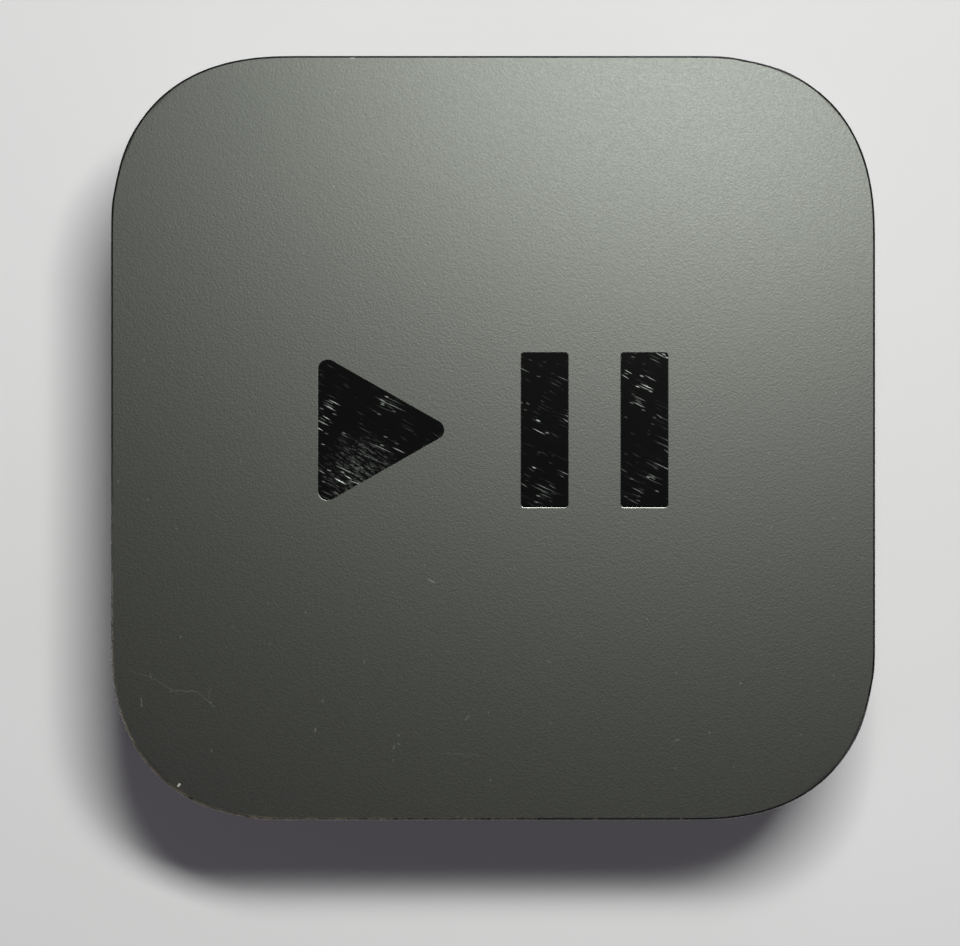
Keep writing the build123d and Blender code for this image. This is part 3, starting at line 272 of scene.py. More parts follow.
@dataclass(frozen=True)
class PolishedAbs(Finish):
    """Black ABS moulded in one shot in a tool with polished sides and a spark-eroded top.

    The eye sees a mirror-black wall, and a top that scatters light into a broad grey sheen. The
    mark's floor is polished like the walls, and years of wiping have filled it with hairlines.
    """

    top_mm: float = 35.0
    top_edge: Ramp = Ramp(-0.03, -0.015)
    mark_depth_mm: float = 0.15
    mark_reach_mm: float = 30.0
    matte_colour: str = "#201f1e"
    matte_roughness: float = 0.385
    matte_drift: float = 0.018
    mark_roughness: float = 0.09
    rolled_roughness: float = 0.3
    rolled_slope: float = -1.45
    spark_mm: float = 0.26
    spark_relief_mm: float = 0.013
    corner_mm: float = 23.6
    corner_power: float = 2.45
    half_mm: float = 49.0
    rim_edge: Ramp = Ramp(-0.42, -0.16)
    rim_level: Ramp = Ramp(-0.4, -0.2)
    worn_way: tuple[float, float, float] = (-0.8, -1.2, 0.0)
    worn_side: Ramp = Ramp(25.0, 75.0, -0.12, 0.24)
    worn_chips: Ramp = Ramp(0.56, 0.8)
    worn_chip_mm: float = 1 / 0.9
    worn_colour: str = "#5b5149"
    scuff_colour: str = "#5c5a57"
    scuff_depth_mm: float = 0.004
    scuff_sway: tuple[float, float, float] = (0.7, 0.7, 0.0)
    speck_density: tuple[float, float, float] = (0.25, 0.13, 0.0)
    speck_fade: Ramp = Ramp(0.01, 0.03, 0.6, 0.0)
    speck_power: float = 3.0
    hairline_colour: str = "#f4f7f8"
    hairline_fade: tuple[float, float] = (0.06, 0.2)
    hairline_power: float = 14.0
    hairline_sway: tuple[float, float, float] = (0.3, 0.3, 0.0)
    hairline_patches: Ramp = Ramp(0.44, 0.66, 0.07, 1.25)
    hairline_gloss: float = 0.5
    haze_mm: tuple[float, float] = (-17.0, -4.0)
    haze_reach: Ramp = Ramp(0.5, 5.0, 1.0, 0.0)
    haze_cloud: Ramp = Ramp(0.52, 0.8)
    haze_stretch: tuple[float, float, float] = (0.8, 3.6, 0.0)
    haze_angle: float = 0.5
    haze_bright: float = 0.34
    ink_colour: str = "#8b8d8f"
    ink_roughness: float = 0.5
    window_mm: tuple[float, float, float] = (27.0, -49.0, 18.2)
    window_fade: Ramp = Ramp(0.8, 0.9, 0.12, 0.0)
    scuffs: tuple[Scuff, ...] = ()
    inks: tuple[Ink, ...] = ()
    hairlines: tuple[Hairlines, ...] = ()

    def over_top(self, tree: Tree, at: Socket) -> Socket:
        """Height over the top's own level."""
        height = add(tree, "SeparateXYZ", {0: at}).outputs["Z"]
        return add(tree, "Math", {0: height, 1: self.top_mm}, operation="SUBTRACT").outputs[0]

    def is_top(self, tree: Tree, at: Socket) -> Socket:
        """One on the matte top, and zero on the walls and in the sunk mark."""
        return add(tree, "MapRange", self.top_edge.feeds(self.over_top(tree, at))).outputs[0]

    def in_reach(self, tree: Tree, at: Socket) -> Socket:
        """One over the part of the top that holds the mark, and zero nearer the outline."""
        flat = add(tree, "VectorMath", {0: at, 1: FLAT}, operation="MULTIPLY").outputs[0]
        reach = add(tree, "VectorMath", {0: flat}, operation="LENGTH").outputs["Value"]
        return add(tree, "Math", {0: reach, 1: self.mark_reach_mm}, operation="LESS_THAN").outputs[0]

    def sunk(self, tree: Tree, at: Socket) -> Socket:
        """Height over the top's own level: zero on the top, and less than zero in the mark only."""
        return add(tree, "Math", {0: self.over_top(tree, at), 1: self.in_reach(tree, at)},
                   operation="MULTIPLY").outputs[0]

    def is_mark(self, tree: Tree, at: Socket) -> Socket:
        """One on the floor of the sunk mark only."""
        return add(tree, "Math", {0: self.sunk(tree, at), 1: -self.mark_depth_mm, 2: 0.03},
                   operation="COMPARE").outputs[0]

    def is_rolled(self, tree: Tree, at: Socket) -> Socket:
        """One on the narrow rolled wall between the top and the mark's floor."""
        return add(tree, "Math", {0: self.sunk(tree, at), 1: -self.mark_depth_mm / 2, 2: 0.05},
                   operation="COMPARE").outputs[0]

    def scuffed(self, tree: Tree, at: Socket) -> Socket:
        """How scratched the top is: for each scuff, one minus the distance to its line over its width."""
        flat = add(tree, "VectorMath", {0: at, 1: FLAT}, operation="MULTIPLY").outputs[0]
        wobble = add(tree, "TexNoise", {"Vector": flat, "Scale": 0.8, "Detail": 2.0}).outputs["Color"]
        shift = add(tree, "VectorMath", {0: wobble, 1: (0.5, 0.5, 0.5)}, operation="SUBTRACT").outputs[0]
        bent = add(tree, "VectorMath", {0: shift, 1: self.scuff_sway, 2: flat},
                   operation="MULTIPLY_ADD").outputs[0]
        total: Any = 0.0
        for scuff in self.scuffs:
            run = np.subtract(scuff.end, scuff.start)
            length = float(np.linalg.norm(run))
            way = (*map(float, run / length), 0.0)
            out = add(tree, "VectorMath", {0: bent, 1: (*scuff.start, 0.0)}, operation="SUBTRACT").outputs[0]
            along = add(tree, "VectorMath", {0: out, 1: way}, operation="DOT_PRODUCT").outputs["Value"]
            held = add(tree, "Clamp", {0: along, 1: 0.0, 2: length}).outputs[0]
            foot = add(tree, "VectorMath", {0: way, 3: held}, operation="SCALE").outputs[0]
            gap = add(tree, "VectorMath", {0: out, 1: foot}, operation="DISTANCE").outputs["Value"]
            fade = Ramp(scuff.width / 2, scuff.width, scuff.bright, 0.0)
            line = add(tree, "MapRange", fade.feeds(gap)).outputs[0]
            total = add(tree, "Math", {0: line, 1: total}, operation="MAXIMUM").outputs[0]
        return total

    def specks(self, tree: Tree, at: Socket) -> Socket:
        """Tiny pale nicks over the top: round each scattered point, faint but for a few."""
        drawn = add(tree, "VectorMath", {0: at, 1: self.speck_density}, operation="MULTIPLY").outputs[0]
        cells = add(tree, "TexVoronoi", {"Vector": drawn, "Scale": 1.0}, voronoi_dimensions="2D").outputs
        near = add(tree, "MapRange", self.speck_fade.feeds(cells["Distance"])).outputs[0]
        chance = add(tree, "SeparateColor", {0: cells["Color"]}).outputs[0]
        strong = add(tree, "Math", {0: chance, 1: self.speck_power}, operation="POWER").outputs[0]
        return add(tree, "Math", {0: near, 1: strong}, operation="MULTIPLY").outputs[0]

    def inked(self, tree: Tree, at: Socket) -> Socket:
        """One on the printed signs of the rear wall.

        Each rectangle's signed distance is the larger of |x - x0| - half and |z - z0| - half. The
        ink lies where it is between minus the line's width and zero, near the wall's own plane.
        """
        total: Any = 0.0
        for ink in self.inks:
            middle = (ink.middle[0], self.half_mm, ink.middle[1])
            out = add(tree, "VectorMath", {0: at, 1: middle}, operation="SUBTRACT").outputs[0]
            size = add(tree, "VectorMath", {0: out}, operation="ABSOLUTE").outputs[0]
            half = (ink.half[0], ink.near, ink.half[1])
            past = add(tree, "VectorMath", {0: size, 1: half}, operation="SUBTRACT").outputs[0]
            sides = add(tree, "SeparateXYZ", {0: past}).outputs
            plan = add(tree, "Math", {0: sides[0], 1: sides[2]}, operation="MAXIMUM").outputs[0]
            shown = add(tree, "Math", {0: plan, 1: -ink.line / 2, 2: ink.line / 2},
                        operation="COMPARE").outputs[0]
            near = add(tree, "Math", {0: sides[1], 1: 0.0}, operation="LESS_THAN").outputs[0]
            both = add(tree, "Math", {0: shown, 1: near}, operation="MULTIPLY").outputs[0]
            total = add(tree, "Math", {0: both, 1: total}, operation="MAXIMUM").outputs[0]
        return total

    def worn_rim(self, tree: Tree, at: Socket) -> Socket:
        """How worn the rim is: along the outline's edge, broken up by noise, worst towards one corner.

        The distance from the edge is the corner zone less the superellipse radius of the place.
        """
        past = add(tree, "VectorMath", {0: at}, operation="ABSOLUTE").outputs[0]
        start = self.half_mm - self.corner_mm
        over = add(tree, "VectorMath", {0: past, 1: (start, start, 0.0)}, operation="SUBTRACT").outputs[0]
        kept = add(tree, "VectorMath", {0: over, 1: (0.0, 0.0, 0.0)}, operation="MAXIMUM").outputs[0]
        parts = add(tree, "SeparateXYZ", {0: kept})
        raised = [add(tree, "Math", {0: parts.outputs[i], 1: self.corner_power}, operation="POWER").outputs[0]
                  for i in (0, 1)]
        both = add(tree, "Math", {0: raised[0], 1: raised[1]}, operation="ADD").outputs[0]
        radius = add(tree, "Math", {0: both, 1: 1 / self.corner_power}, operation="POWER").outputs[0]
        inside = add(tree, "Math", {0: radius, 1: self.corner_mm}, operation="SUBTRACT").outputs[0]
        near = add(tree, "MapRange", self.rim_edge.feeds(inside)).outputs[0]
        high = add(tree, "MapRange", self.rim_level.feeds(self.over_top(tree, at))).outputs[0]
        side = add(tree, "VectorMath", {0: at, 1: self.worn_way}, operation="DOT_PRODUCT").outputs["Value"]
        worst = add(tree, "MapRange", self.worn_side.feeds(side)).outputs[0]
        chips = add(tree, "TexNoise", {"Vector": at, "Scale": 1 / self.worn_chip_mm, "Detail": 5.0,
                                       "Roughness": 0.7}).outputs[0]
        risen = add(tree, "Math", {0: chips, 1: worst}, operation="ADD").outputs[0]
        broken = add(tree, "MapRange", self.worn_chips.feeds(risen)).outputs[0]
        edge = add(tree, "Math", {0: near, 1: high}, operation="MULTIPLY").outputs[0]
        return add(tree, "Math", {0: edge, 1: broken}, operation="MULTIPLY").outputs[0]

    def wiped(self, tree: Tree, at: Socket) -> Socket:
        """Hairline scratches, from cells drawn out along each way of wiping.

        A scratch lies round each cell's point, and is as bright as a power of the cell's own random
        number, so that most are faint and a few stand out.
        """
        sway = add(tree, "TexNoise", {"Vector": at, "Scale": 0.35, "Detail": 2.0}).outputs["Color"]
        bent = add(tree, "VectorMath", {0: sway, 1: self.hairline_sway, 2: at},
                   operation="MULTIPLY_ADD").outputs[0]
        total: Any = 0.0
        for lines in self.hairlines:
            turned = add(tree, "VectorRotate", {0: bent, "Angle": -lines.way},
                         rotation_type="Z_AXIS").outputs[0]
            drawn = add(tree, "VectorMath", {0: turned, 1: (0.4 / lines.length, 0.4 / lines.width, 0.0),
                                             2: (lines.offset,) * 3}, operation="MULTIPLY_ADD").outputs[0]
            cells = add(tree, "TexVoronoi", {"Vector": drawn, "Scale": 1.0}, voronoi_dimensions="2D").outputs
            fade = Ramp(*self.hairline_fade, lines.bright, 0.0)
            near = add(tree, "MapRange", fade.feeds(cells["Distance"])).outputs[0]
            chance = add(tree, "SeparateColor", {0: cells["Color"]}).outputs[0]
            strong = add(tree, "Math", {0: chance, 1: self.hairline_power}, operation="POWER").outputs[0]
            total = add(tree, "Math", {0: near, 1: strong, 2: total}, operation="MULTIPLY_ADD").outputs[0]
        patches = add(tree, "TexNoise", {"Vector": at, "Scale": 0.22, "Detail": 2.0}).outputs[0]
        often = add(tree, "MapRange", self.hairline_patches.feeds(patches)).outputs[0]
        return add(tree, "Math", {0: total, 1: often}, operation="MULTIPLY").outputs[0]

    def haze(self, tree: Tree, at: Socket) -> Socket:
        """Cloudy rubbing in the mark, densest low in the play sign."""
        centre = (*self.haze_mm, self.top_mm)
        spot = add(tree, "VectorMath", {0: at, 1: centre}, operation="DISTANCE").outputs["Value"]
        near = add(tree, "MapRange", self.haze_reach.feeds(spot)).outputs[0]
        turned = add(tree, "VectorRotate", {0: at, "Angle": self.haze_angle},
                     rotation_type="Z_AXIS").outputs[0]
        drawn = add(tree, "VectorMath", {0: turned, 1: self.haze_stretch}, operation="MULTIPLY").outputs[0]
        cloud = add(tree, "TexNoise", {"Vector": drawn, "Scale": 1.0, "Detail": 6.0,
                                       "Roughness": 0.75}).outputs[0]
        patch = add(tree, "MapRange", self.haze_cloud.feeds(cloud)).outputs[0]
        return add(tree, "Math", {0: near, 1: patch}, operation="MULTIPLY").outputs[0]

    def tint(self, tree: Tree, at: Socket) -> Socket:
        """Black, paler where matte, worn, scratched or printed."""
        top = self.is_top(tree, at)
        base = add(tree, "Mix", {0: top, 6: super().tint(tree, at), 7: linear(self.matte_colour)},
                   data_type="RGBA")
        nicked = add(tree, "Math", {0: self.scuffed(tree, at), 1: self.specks(tree, at)},
                     operation="MAXIMUM").outputs[0]
        cut = add(tree, "Math", {0: nicked, 1: top}, operation="MULTIPLY").outputs[0]
        window = add(tree, "VectorMath", {0: at, 1: self.window_mm}, operation="DISTANCE").outputs["Value"]
        clear = add(tree, "MapRange", self.window_fade.feeds(window)).outputs[0]
        wiped = add(tree, "Math", {0: self.haze(tree, at), 1: self.haze_bright, 2: self.wiped(tree, at)},
                    operation="MULTIPLY_ADD").outputs[0]
        shown = add(tree, "Math", {0: wiped, 1: self.is_mark(tree, at)}, operation="MULTIPLY").outputs[0]
        total = base.outputs[2]
        for colour, share in ((self.worn_colour, self.worn_rim(tree, at)), (self.scuff_colour, cut),
                              (self.ink_colour, self.inked(tree, at)), (self.scuff_colour, clear),
                              (self.hairline_colour, shown)):
            part = add(tree, "VectorMath", {0: linear(colour)[:3], 3: share}, operation="SCALE").outputs[0]
            total = add(tree, "VectorMath", {0: total, 1: part}, operation="ADD").outputs[0]
        return total

    def gloss(self, tree: Tree, at: Socket) -> Socket:
        """Polished walls, matte top, hairlined mark and dull ink."""
        grain = add(tree, "TexNoise", {"Vector": at, "Scale": 1 / self.spark_mm, "Detail": 3.0}).outputs[0]
        swing = noise_ramp(self.matte_roughness - self.matte_drift, self.matte_roughness + self.matte_drift)
        matte = add(tree, "MapRange", swing.feeds(grain)).outputs[0]
        lined = add(tree, "Math", {0: self.wiped(tree, at), 1: self.hairline_gloss, 2: self.mark_roughness},
                    operation="MULTIPLY_ADD").outputs[0]
        total = super().gloss(tree, at)
        for share, rough in ((self.is_mark(tree, at), lined),
                             (self.is_rolled(tree, at), self.rolled_roughness),
                             (self.inked(tree, at), self.ink_roughness), (self.is_top(tree, at), matte)):
            total = add(tree, "Mix", {0: share, 2: total, 3: rough}).outputs[0]
        return total

    def relief(self, tree: Tree, at: Socket) -> Socket:
        """Spark-eroded craters on the top, scuffs, and the mark's rolled edge.

       
        """
        grain = add(tree, "TexNoise", {"Vector": at, "Scale": 1 / self.spark_mm, "Detail": 4.0}).outputs[0]
        deep = add(tree, "Math", {0: grain, 1: self.spark_relief_mm}, operation="MULTIPLY").outputs[0]
        on_top = add(tree, "Math", {0: deep, 1: self.is_top(tree, at)}, operation="MULTIPLY").outputs[0]
        rolled = add(tree, "Math", {0: self.sunk(tree, at), 1: self.rolled_slope, 2: on_top},
                     operation="MULTIPLY_ADD").outputs[0]
        return add(tree, "Math", {0: self.scuffed(tree, at), 1: -self.scuff_depth_mm, 2: rolled},
                   operation="MULTIPLY_ADD").outputs[0]


@dataclass(frozen=True)
class Elastomer(Finish):
    """Moulded thermoplastic elastomer: dull, with lint and dust that it holds on to."""

    dust_colour: str = "#6d6a64"
    dust_specks: Ramp = Ramp(0.62, 0.8, 0.0, 0.6)

    def tint(self, tree: Tree, at: Socket) -> Socket:
        """Dark rubber with pale specks of dust."""
        base = super().tint(tree, at)
        speck = add(tree, "TexNoise", {"Vector": at, "Scale": 2.2, "Detail": 6.0,
                                       "Roughness": 0.8}).outputs[0]
        shown = add(tree, "MapRange", self.dust_specks.feeds(speck)).outputs[0]
        return add(tree, "Mix", {0: shown, 6: base, 7: linear(self.dust_colour)}, data_type="RGBA").outputs[2]


@dataclass(frozen=True)
class Porous(Finish):
    """Foam's open pores between cell walls, or packed grains."""

    def relief(self, tree: Tree, at: Socket) -> Socket:
        """Pores or grains: the distance to the nearest of scattered points."""
        cells = add(tree, "TexVoronoi", {"Vector": at, "Scale": 1 / self.grain_mm}).outputs["Distance"]
        return add(tree, "Math", {0: cells, 1: self.relief_mm}, operation="MULTIPLY").outputs[0]


@dataclass(frozen=True)
class DrawnMetal(Finish):
    """Rolled, drawn or stamped metal, plated or bare: fine lines along the way it was drawn."""

    metallic: float = 1.0
    brushing: Brushing = Brushing.NONE

    def relief(self, tree: Tree, at: Socket) -> Socket:
        """Lines: a noise drawn out along the brushing."""
        drawn = add(tree, "VectorMath", {0: at, 1: self.brushing.value}, operation="MULTIPLY").outputs[0]
        lines = add(tree, "TexNoise", {"Vector": drawn, "Scale": 1 / self.grain_mm, "Detail": 4.0}).outputs[0]
        return add(tree, "Math", {0: lines, 1: self.relief_mm}, operation="MULTIPLY").outputs[0]


@dataclass(frozen=True)
class PorousMetal(Porous):
    """Cast, sintered or fired material: pits and grains of the powder or the blasting grit."""

    metallic: float = 1.0
    pit_colour: str = "#2a2622"
    pit_fade: Ramp = Ramp(0.1, 0.28, 0.6, 0.0)

    def tint(self, tree: Tree, at: Socket) -> Socket:
        """Darker in the pits."""
        base = super().tint(tree, at)
        cells = add(tree, "TexVoronoi", {"Vector": at, "Scale": 0.6 / self.grain_mm}).outputs["Distance"]
        pit = add(tree, "MapRange", self.pit_fade.feeds(cells)).outputs[0]
        return add(tree, "Mix", {0: pit, 6: base, 7: linear(self.pit_colour)}, data_type="RGBA").outputs[2]


@dataclass(frozen=True)
class SolderMask(Finish):
    """Glass-epoxy board under solder mask: tracks show as paler lines, and pads are tinned."""

    coat: float = 0.6
    track_colour: str = "#1d4a3a"
    pad_colour: str = "#b7b3a6"
    pad_fade: Ramp = Ramp(0.13, 0.16, 1.0, 0.0)
    pads_a_mm: float = 0.55
    track_pitch_mm: float = 2.2
    tracks_a_cell: float = 4.0
    track_share: float = 0.42
    track_height_mm: float = 0.03

    def routes(self, tree: Tree, at: Socket) -> Socket:
        """One on a track: in square rings round scattered points."""
        flat = add(tree, "VectorMath", {0: at, 1: FLAT}, operation="MULTIPLY").outputs[0]
        near = add(tree, "TexVoronoi", {"Vector": flat, "Scale": 1 / self.track_pitch_mm},
                   distance="CHEBYCHEV").outputs["Distance"]
        ring = add(tree, "Math", {0: near, 1: self.tracks_a_cell}, operation="MULTIPLY").outputs[0]
        part = add(tree, "Math", {0: ring}, operation="FRACT").outputs[0]
        return add(tree, "Math", {0: part, 1: self.track_share}, operation="LESS_THAN").outputs[0]

    def pads(self, tree: Tree, at: Socket) -> Socket:
        """One on a via or a pad: close to scattered points."""
        flat = add(tree, "VectorMath", {0: at, 1: FLAT}, operation="MULTIPLY").outputs[0]
        near = add(tree, "TexVoronoi", {"Vector": flat, "Scale": self.pads_a_mm}).outputs["Distance"]
        return add(tree, "MapRange", self.pad_fade.feeds(near)).outputs[0]

    def tint(self, tree: Tree, at: Socket) -> Socket:
        """Mask over board and over copper, open at the pads."""
        base = super().tint(tree, at)
        tracks = add(tree, "Mix", {0: self.routes(tree, at), 6: base, 7: linear(self.track_colour)},
                     data_type="RGBA")
        return add(tree, "Mix", {0: self.pads(tree, at), 6: tracks.outputs[2], 7: linear(self.pad_colour)},
                   data_type="RGBA").outputs[2]

    def relief(self, tree: Tree, at: Socket) -> Socket:
        """Tracks stand proud by the copper's thickness."""
        return add(tree, "Math", {0: self.routes(tree, at), 1: self.track_height_mm},
                   operation="MULTIPLY").outputs[0]


@dataclass(frozen=True)
class ClearAcrylic(Finish):
    """Clear moulded acrylic, polished, with a faint grain."""

    clearness: float = 0.92

    def finish(self, tree: Tree, shader: bpy.types.Node, at: Socket) -> None:
        """Let light through."""
        shader.inputs["Transmission Weight"].default_value = self.clearness


@dataclass(frozen=True)
class WoundTape(Finish):
    """Polyester tape wound in layers: each edge shows as a thin line."""

    layer_mm: float = 1.5
    edge_mm: float = 0.12
    step_mm: float = 0.04

    def relief(self, tree: Tree, at: Socket) -> Socket:
        """Steps at the tape's edges, one every layer up."""
        up = add(tree, "SeparateXYZ", {0: at}).outputs["Z"]
        step = add(tree, "Math", {0: up, 1: self.layer_mm}, operation="MODULO").outputs[0]
        edge = add(tree, "Math", {0: step, 1: self.edge_mm}, operation="LESS_THAN").outputs[0]
        return add(tree, "Math", {0: edge, 1: -self.step_mm}, operation="MULTIPLY").outputs[0]


# The case's own wear: first a wandering scratch near one corner and the nicks round it, then
# short nicks over the rest of the top.
CASE_SCUFFS = (
    Scuff((-46.8, -29.8), (-44.0, -30.6), 0.07, 0.16),
    Scuff((-44.0, -30.6), (-40.7, -32.4), 0.08, 0.24),
    Scuff((-40.7, -32.4), (-37.8, -32.6), 0.09, 0.28),
    Scuff((-37.8, -32.6), (-35.7, -34.5), 0.08, 0.22),
    Scuff((-36.3, -32.0), (-36.4, -33.4), 0.08, 0.2),
    Scuff((-43.9, -30.3), (-43.9, -30.6), 0.12, 0.35),
    Scuff((-41.2, -32.4), (-41.3, -32.5), 0.12, 0.35),
    Scuff((-45.1, -33.4), (-44.9, -34.4), 0.11, 0.45),
    Scuff((-40.3, -44.6), (-40.2, -44.4), 0.17, 3.4),
    Scuff((-22.8, -37.1), (-22.8, -37.5), 0.20, 0.4),
    Scuff((-21.8, -33.5), (-21.8, -33.7), 0.13, 0.4),
    Scuff((-12.8, -39.8), (-12.7, -39.4), 0.13, 0.4),
    Scuff((-12.1, -39.1), (-12.0, -39.2), 0.12, 0.5),
    Scuff((-8.3, -18.0), (-7.4, -18.4), 0.10, 0.7),
    Scuff((-3.5, -36.2), (-3.0, -35.6), 0.15, 0.3),
    Scuff((-6.4, -40.4), (-1.7, -40.7), 0.08, 0.12),
    Scuff((7.0, -28.5), (7.4, -28.6), 0.12, 0.3),
    Scuff((23.4, -38.8), (23.8, -38.6), 0.14, 0.4),
    Scuff((-18.2, 48.8), (-17.9, 48.8), 0.22, 1.2),
)
# Ways of wiping: long strokes, short dabs, slanted strokes, and a few of the longest lines.
MARK_HAIRLINES = (
    Hairlines(-0.46, 2.0, 0.14, 0.70, 0.0),
    Hairlines(-0.36, 0.7, 0.20, 0.70, 17.3),
    Hairlines(-0.58, 1.3, 0.13, 0.50, 41.9),
    Hairlines(-0.42, 4.5, 0.12, 0.70, 63.1),
)
# A screen by the video socket, and three linked boxes by the network socket.
PORT_SIGNS = (
    Ink((0.0, 27.5), (2.0, 1.25), 0.28),
    Ink((0.0, 25.75), (0.9, 0.14)),
    Ink((-20.0, 28.5), (0.6, 0.5), 0.22),
    Ink((-21.7, 26.2), (0.6, 0.5), 0.22),
    Ink((-18.3, 26.2), (0.6, 0.5), 0.22),
    Ink((-20.0, 27.6), (0.11, 0.45)),
    Ink((-20.0, 27.25), (1.81, 0.11)),
    Ink((-21.7, 26.95), (0.11, 0.3)),
    Ink((-18.3, 26.95), (0.11, 0.3)),
)

CASE_PLASTIC = PolishedAbs("abs_polished_black", "#070707", roughness=0.07, gloss_drift=0.03, drift=0.05,
                           scuffs=CASE_SCUFFS, inks=PORT_SIGNS, hairlines=MARK_HAIRLINES)
BASE_PLASTIC = Finish("abs_fine_matte_black", "#141414", roughness=0.5, grain_mm=0.22, relief_mm=0.006)
FOOT_ELASTOMER = Elastomer("tpe_moulded_dark_grey", "#232322", roughness=0.72, grain_mm=0.35, relief_mm=0.01)
SEAL_FOAM = Porous("polyurethane_foam_grey", "#2c2c2b", roughness=0.95, grain_mm=0.35, relief_mm=0.12)
FAN_PLASTIC = Finish("pbt_glass_filled_black", "#1a1a1b", roughness=0.46, grain_mm=0.5, relief_mm=0.006)
IMPELLER_PLASTIC = Finish("pbt_moulded_black", "#121213", roughness=0.36, grain_mm=0.6, relief_mm=0.003)
PLATED_STEEL = DrawnMetal("steel_nickel_plated", "#b9b6ae", roughness=0.3, grain_mm=0.25, relief_mm=0.0015,
                          brushing=Brushing.ALONG_X)
GROUND_STEEL = DrawnMetal("steel_ground_shaft", "#c9c8c6", roughness=0.14, grain_mm=0.1, relief_mm=0.0004,
                          brushing=Brushing.ALONG_Z)
BEARING_BRONZE = PorousMetal("bronze_sintered", "#9a6f42", roughness=0.42, grain_mm=0.12, relief_mm=0.01)
MAGNET_FERRITE = PorousMetal("ferrite_bonded_magnet", "#3c3d40", roughness=0.6, metallic=0.3, grain_mm=0.15,
                             relief_mm=0.008)
LAMINATION = DrawnMetal("steel_lamination_stack", "#7f8388", roughness=0.38, grain_mm=0.2, relief_mm=0.01,
                        brushing=Brushing.NONE)
COPPER_WIRE = DrawnMetal("copper_enamelled", "#b4572b", roughness=0.24, coat=0.8, grain_mm=0.4,
                         relief_mm=0.001)
LOGIC_MASK = SolderMask("board_black_solder_mask", "#0d1416", roughness=0.35, drift=0.05,
                        track_colour="#182427")
SUPPLY_MASK = SolderMask("board_green_solder_mask", "#12301f", roughness=0.35, drift=0.05,
                         track_colour="#1f5a38")
SOCKET_PLASTIC = Finish("nylon_glass_filled_black", "#101011", roughness=0.42, grain_mm=0.3, relief_mm=0.004)
GOLD_PLATE = DrawnMetal("bronze_gold_plated", "#e2b45e", roughness=0.2, grain_mm=0.3, relief_mm=0.0006,
                        brushing=Brushing.ALONG_Y)
BLACK_SCREW = DrawnMetal("steel_black_oxide", "#3a3a3c", roughness=0.36, grain_mm=0.25, relief_mm=0.002)
CAST_ALUMINIUM = PorousMetal("aluminium_die_cast", "#a9abad", roughness=0.46, grain_mm=0.3, relief_mm=0.012,
                             drift=0.04, drift_mm=16.0, gloss_drift=0.03, pit_colour="#77787a")
SILICONE_PAD = Finish("silicone_gap_filler", "#8fa0ad", roughness=0.75, grain_mm=0.5, relief_mm=0.01)
CHIP_EPOXY = Finish("epoxy_moulded_chip", "#1b1b1c", roughness=0.55, grain_mm=0.14, relief_mm=0.004)
DARK_EPOXY = Finish("epoxy_infrared_dark", "#140b10", roughness=0.1, coat=0.5, relief_mm=0.0008)
TINNED_STEEL = DrawnMetal("steel_tinned", "#b3b2ad", roughness=0.32, grain_mm=0.5, relief_mm=0.002,
                          brushing=Brushing.ALONG_Y)
FERRITE = PorousMetal("ferrite_pressed", "#3a3b3e", roughness=0.62, metallic=0.15, grain_mm=0.25,
                      relief_mm=0.01)
CERAMIC_CHIP = Finish("ceramic_capacitor", "#a78a66", roughness=0.4, drift=0.25, drift_mm=2.0)
STAMPED_BRASS = DrawnMetal("brass_stamped", "#c8ac6a", roughness=0.3, grain_mm=0.3, relief_mm=0.001,
                           brushing=Brushing.ALONG_Y)
CLEAR_LENS = Finish("epoxy_clear_lens", "#d8d6c6", roughness=0.15, coat=0.4, relief_mm=0.0005)
CLEAR_ACRYLIC = ClearAcrylic("acrylic_clear", "#f2f4f4", roughness=0.06, gloss_drift=0.02, ior=1.49,
                            drift=0.02)
NICKEL_PIN = DrawnMetal("brass_nickel_plated", "#c6c2b8", roughness=0.18, grain_mm=0.2, relief_mm=0.0006,
                        brushing=Brushing.ALONG_Y)
INSULATOR_FILM = Finish("polycarbonate_film_black", "#1d1d1f", roughness=0.3, grain_mm=0.8, relief_mm=0.004)
TURNED_BRASS = DrawnMetal("brass_turned", "#c79a4e", roughness=0.22, grain_mm=0.15, relief_mm=0.002,
                          brushing=Brushing.ALONG_X)
TAPE = WoundTape("polyester_tape_yellow", "#c79b1c", roughness=0.25, coat=0.3, ior=1.6)
SLEEVE = Finish("pet_shrink_sleeve_black", "#17181b", roughness=0.22, coat=0.3, grain_mm=1.2, relief_mm=0.006)
FILM_CASE = Finish("polypropylene_box_yellow", "#b59a25", roughness=0.42, grain_mm=0.35, relief_mm=0.006)
DIPPED_EPOXY = Finish("epoxy_dipped_blue", "#1f4f87", roughness=0.2, coat=0.4, grain_mm=1.4, relief_mm=0.02)
FLOOR_PAINT = Finish("floor_matte_pale", "#d7d1da", roughness=0.75, drift=0.015, drift_mm=180.0, grain_mm=0.8,
                     relief_mm=0.004)


# ------------------------------------------------------------------ surfaces from arrays


def put_mesh(name: str, points: Array, faces: Array, smooth: bool = True) -> bpy.types.Object:
    """Put an array of corners and an array of faces into a new mesh object at the origin.

    Args:
        name: the piece's name.
        points: corners, one row each, in metres.
        faces: corner numbers, three or four to a row.
        smooth: whether the faces are shaded smooth.

    Returns:
        The new object, in the scene.
    """
    mesh = bpy.data.meshes.new(name)
    mesh.from_pydata(points.reshape(-1, 3).tolist(), [], faces.tolist())
    mesh.polygons.foreach_set("use_smooth", np.full(len(mesh.polygons), smooth))
    mesh.validate()
    piece = bpy.data.objects.new(name, mesh)
    bpy.context.scene.collection.objects.link(piece)
    return piece


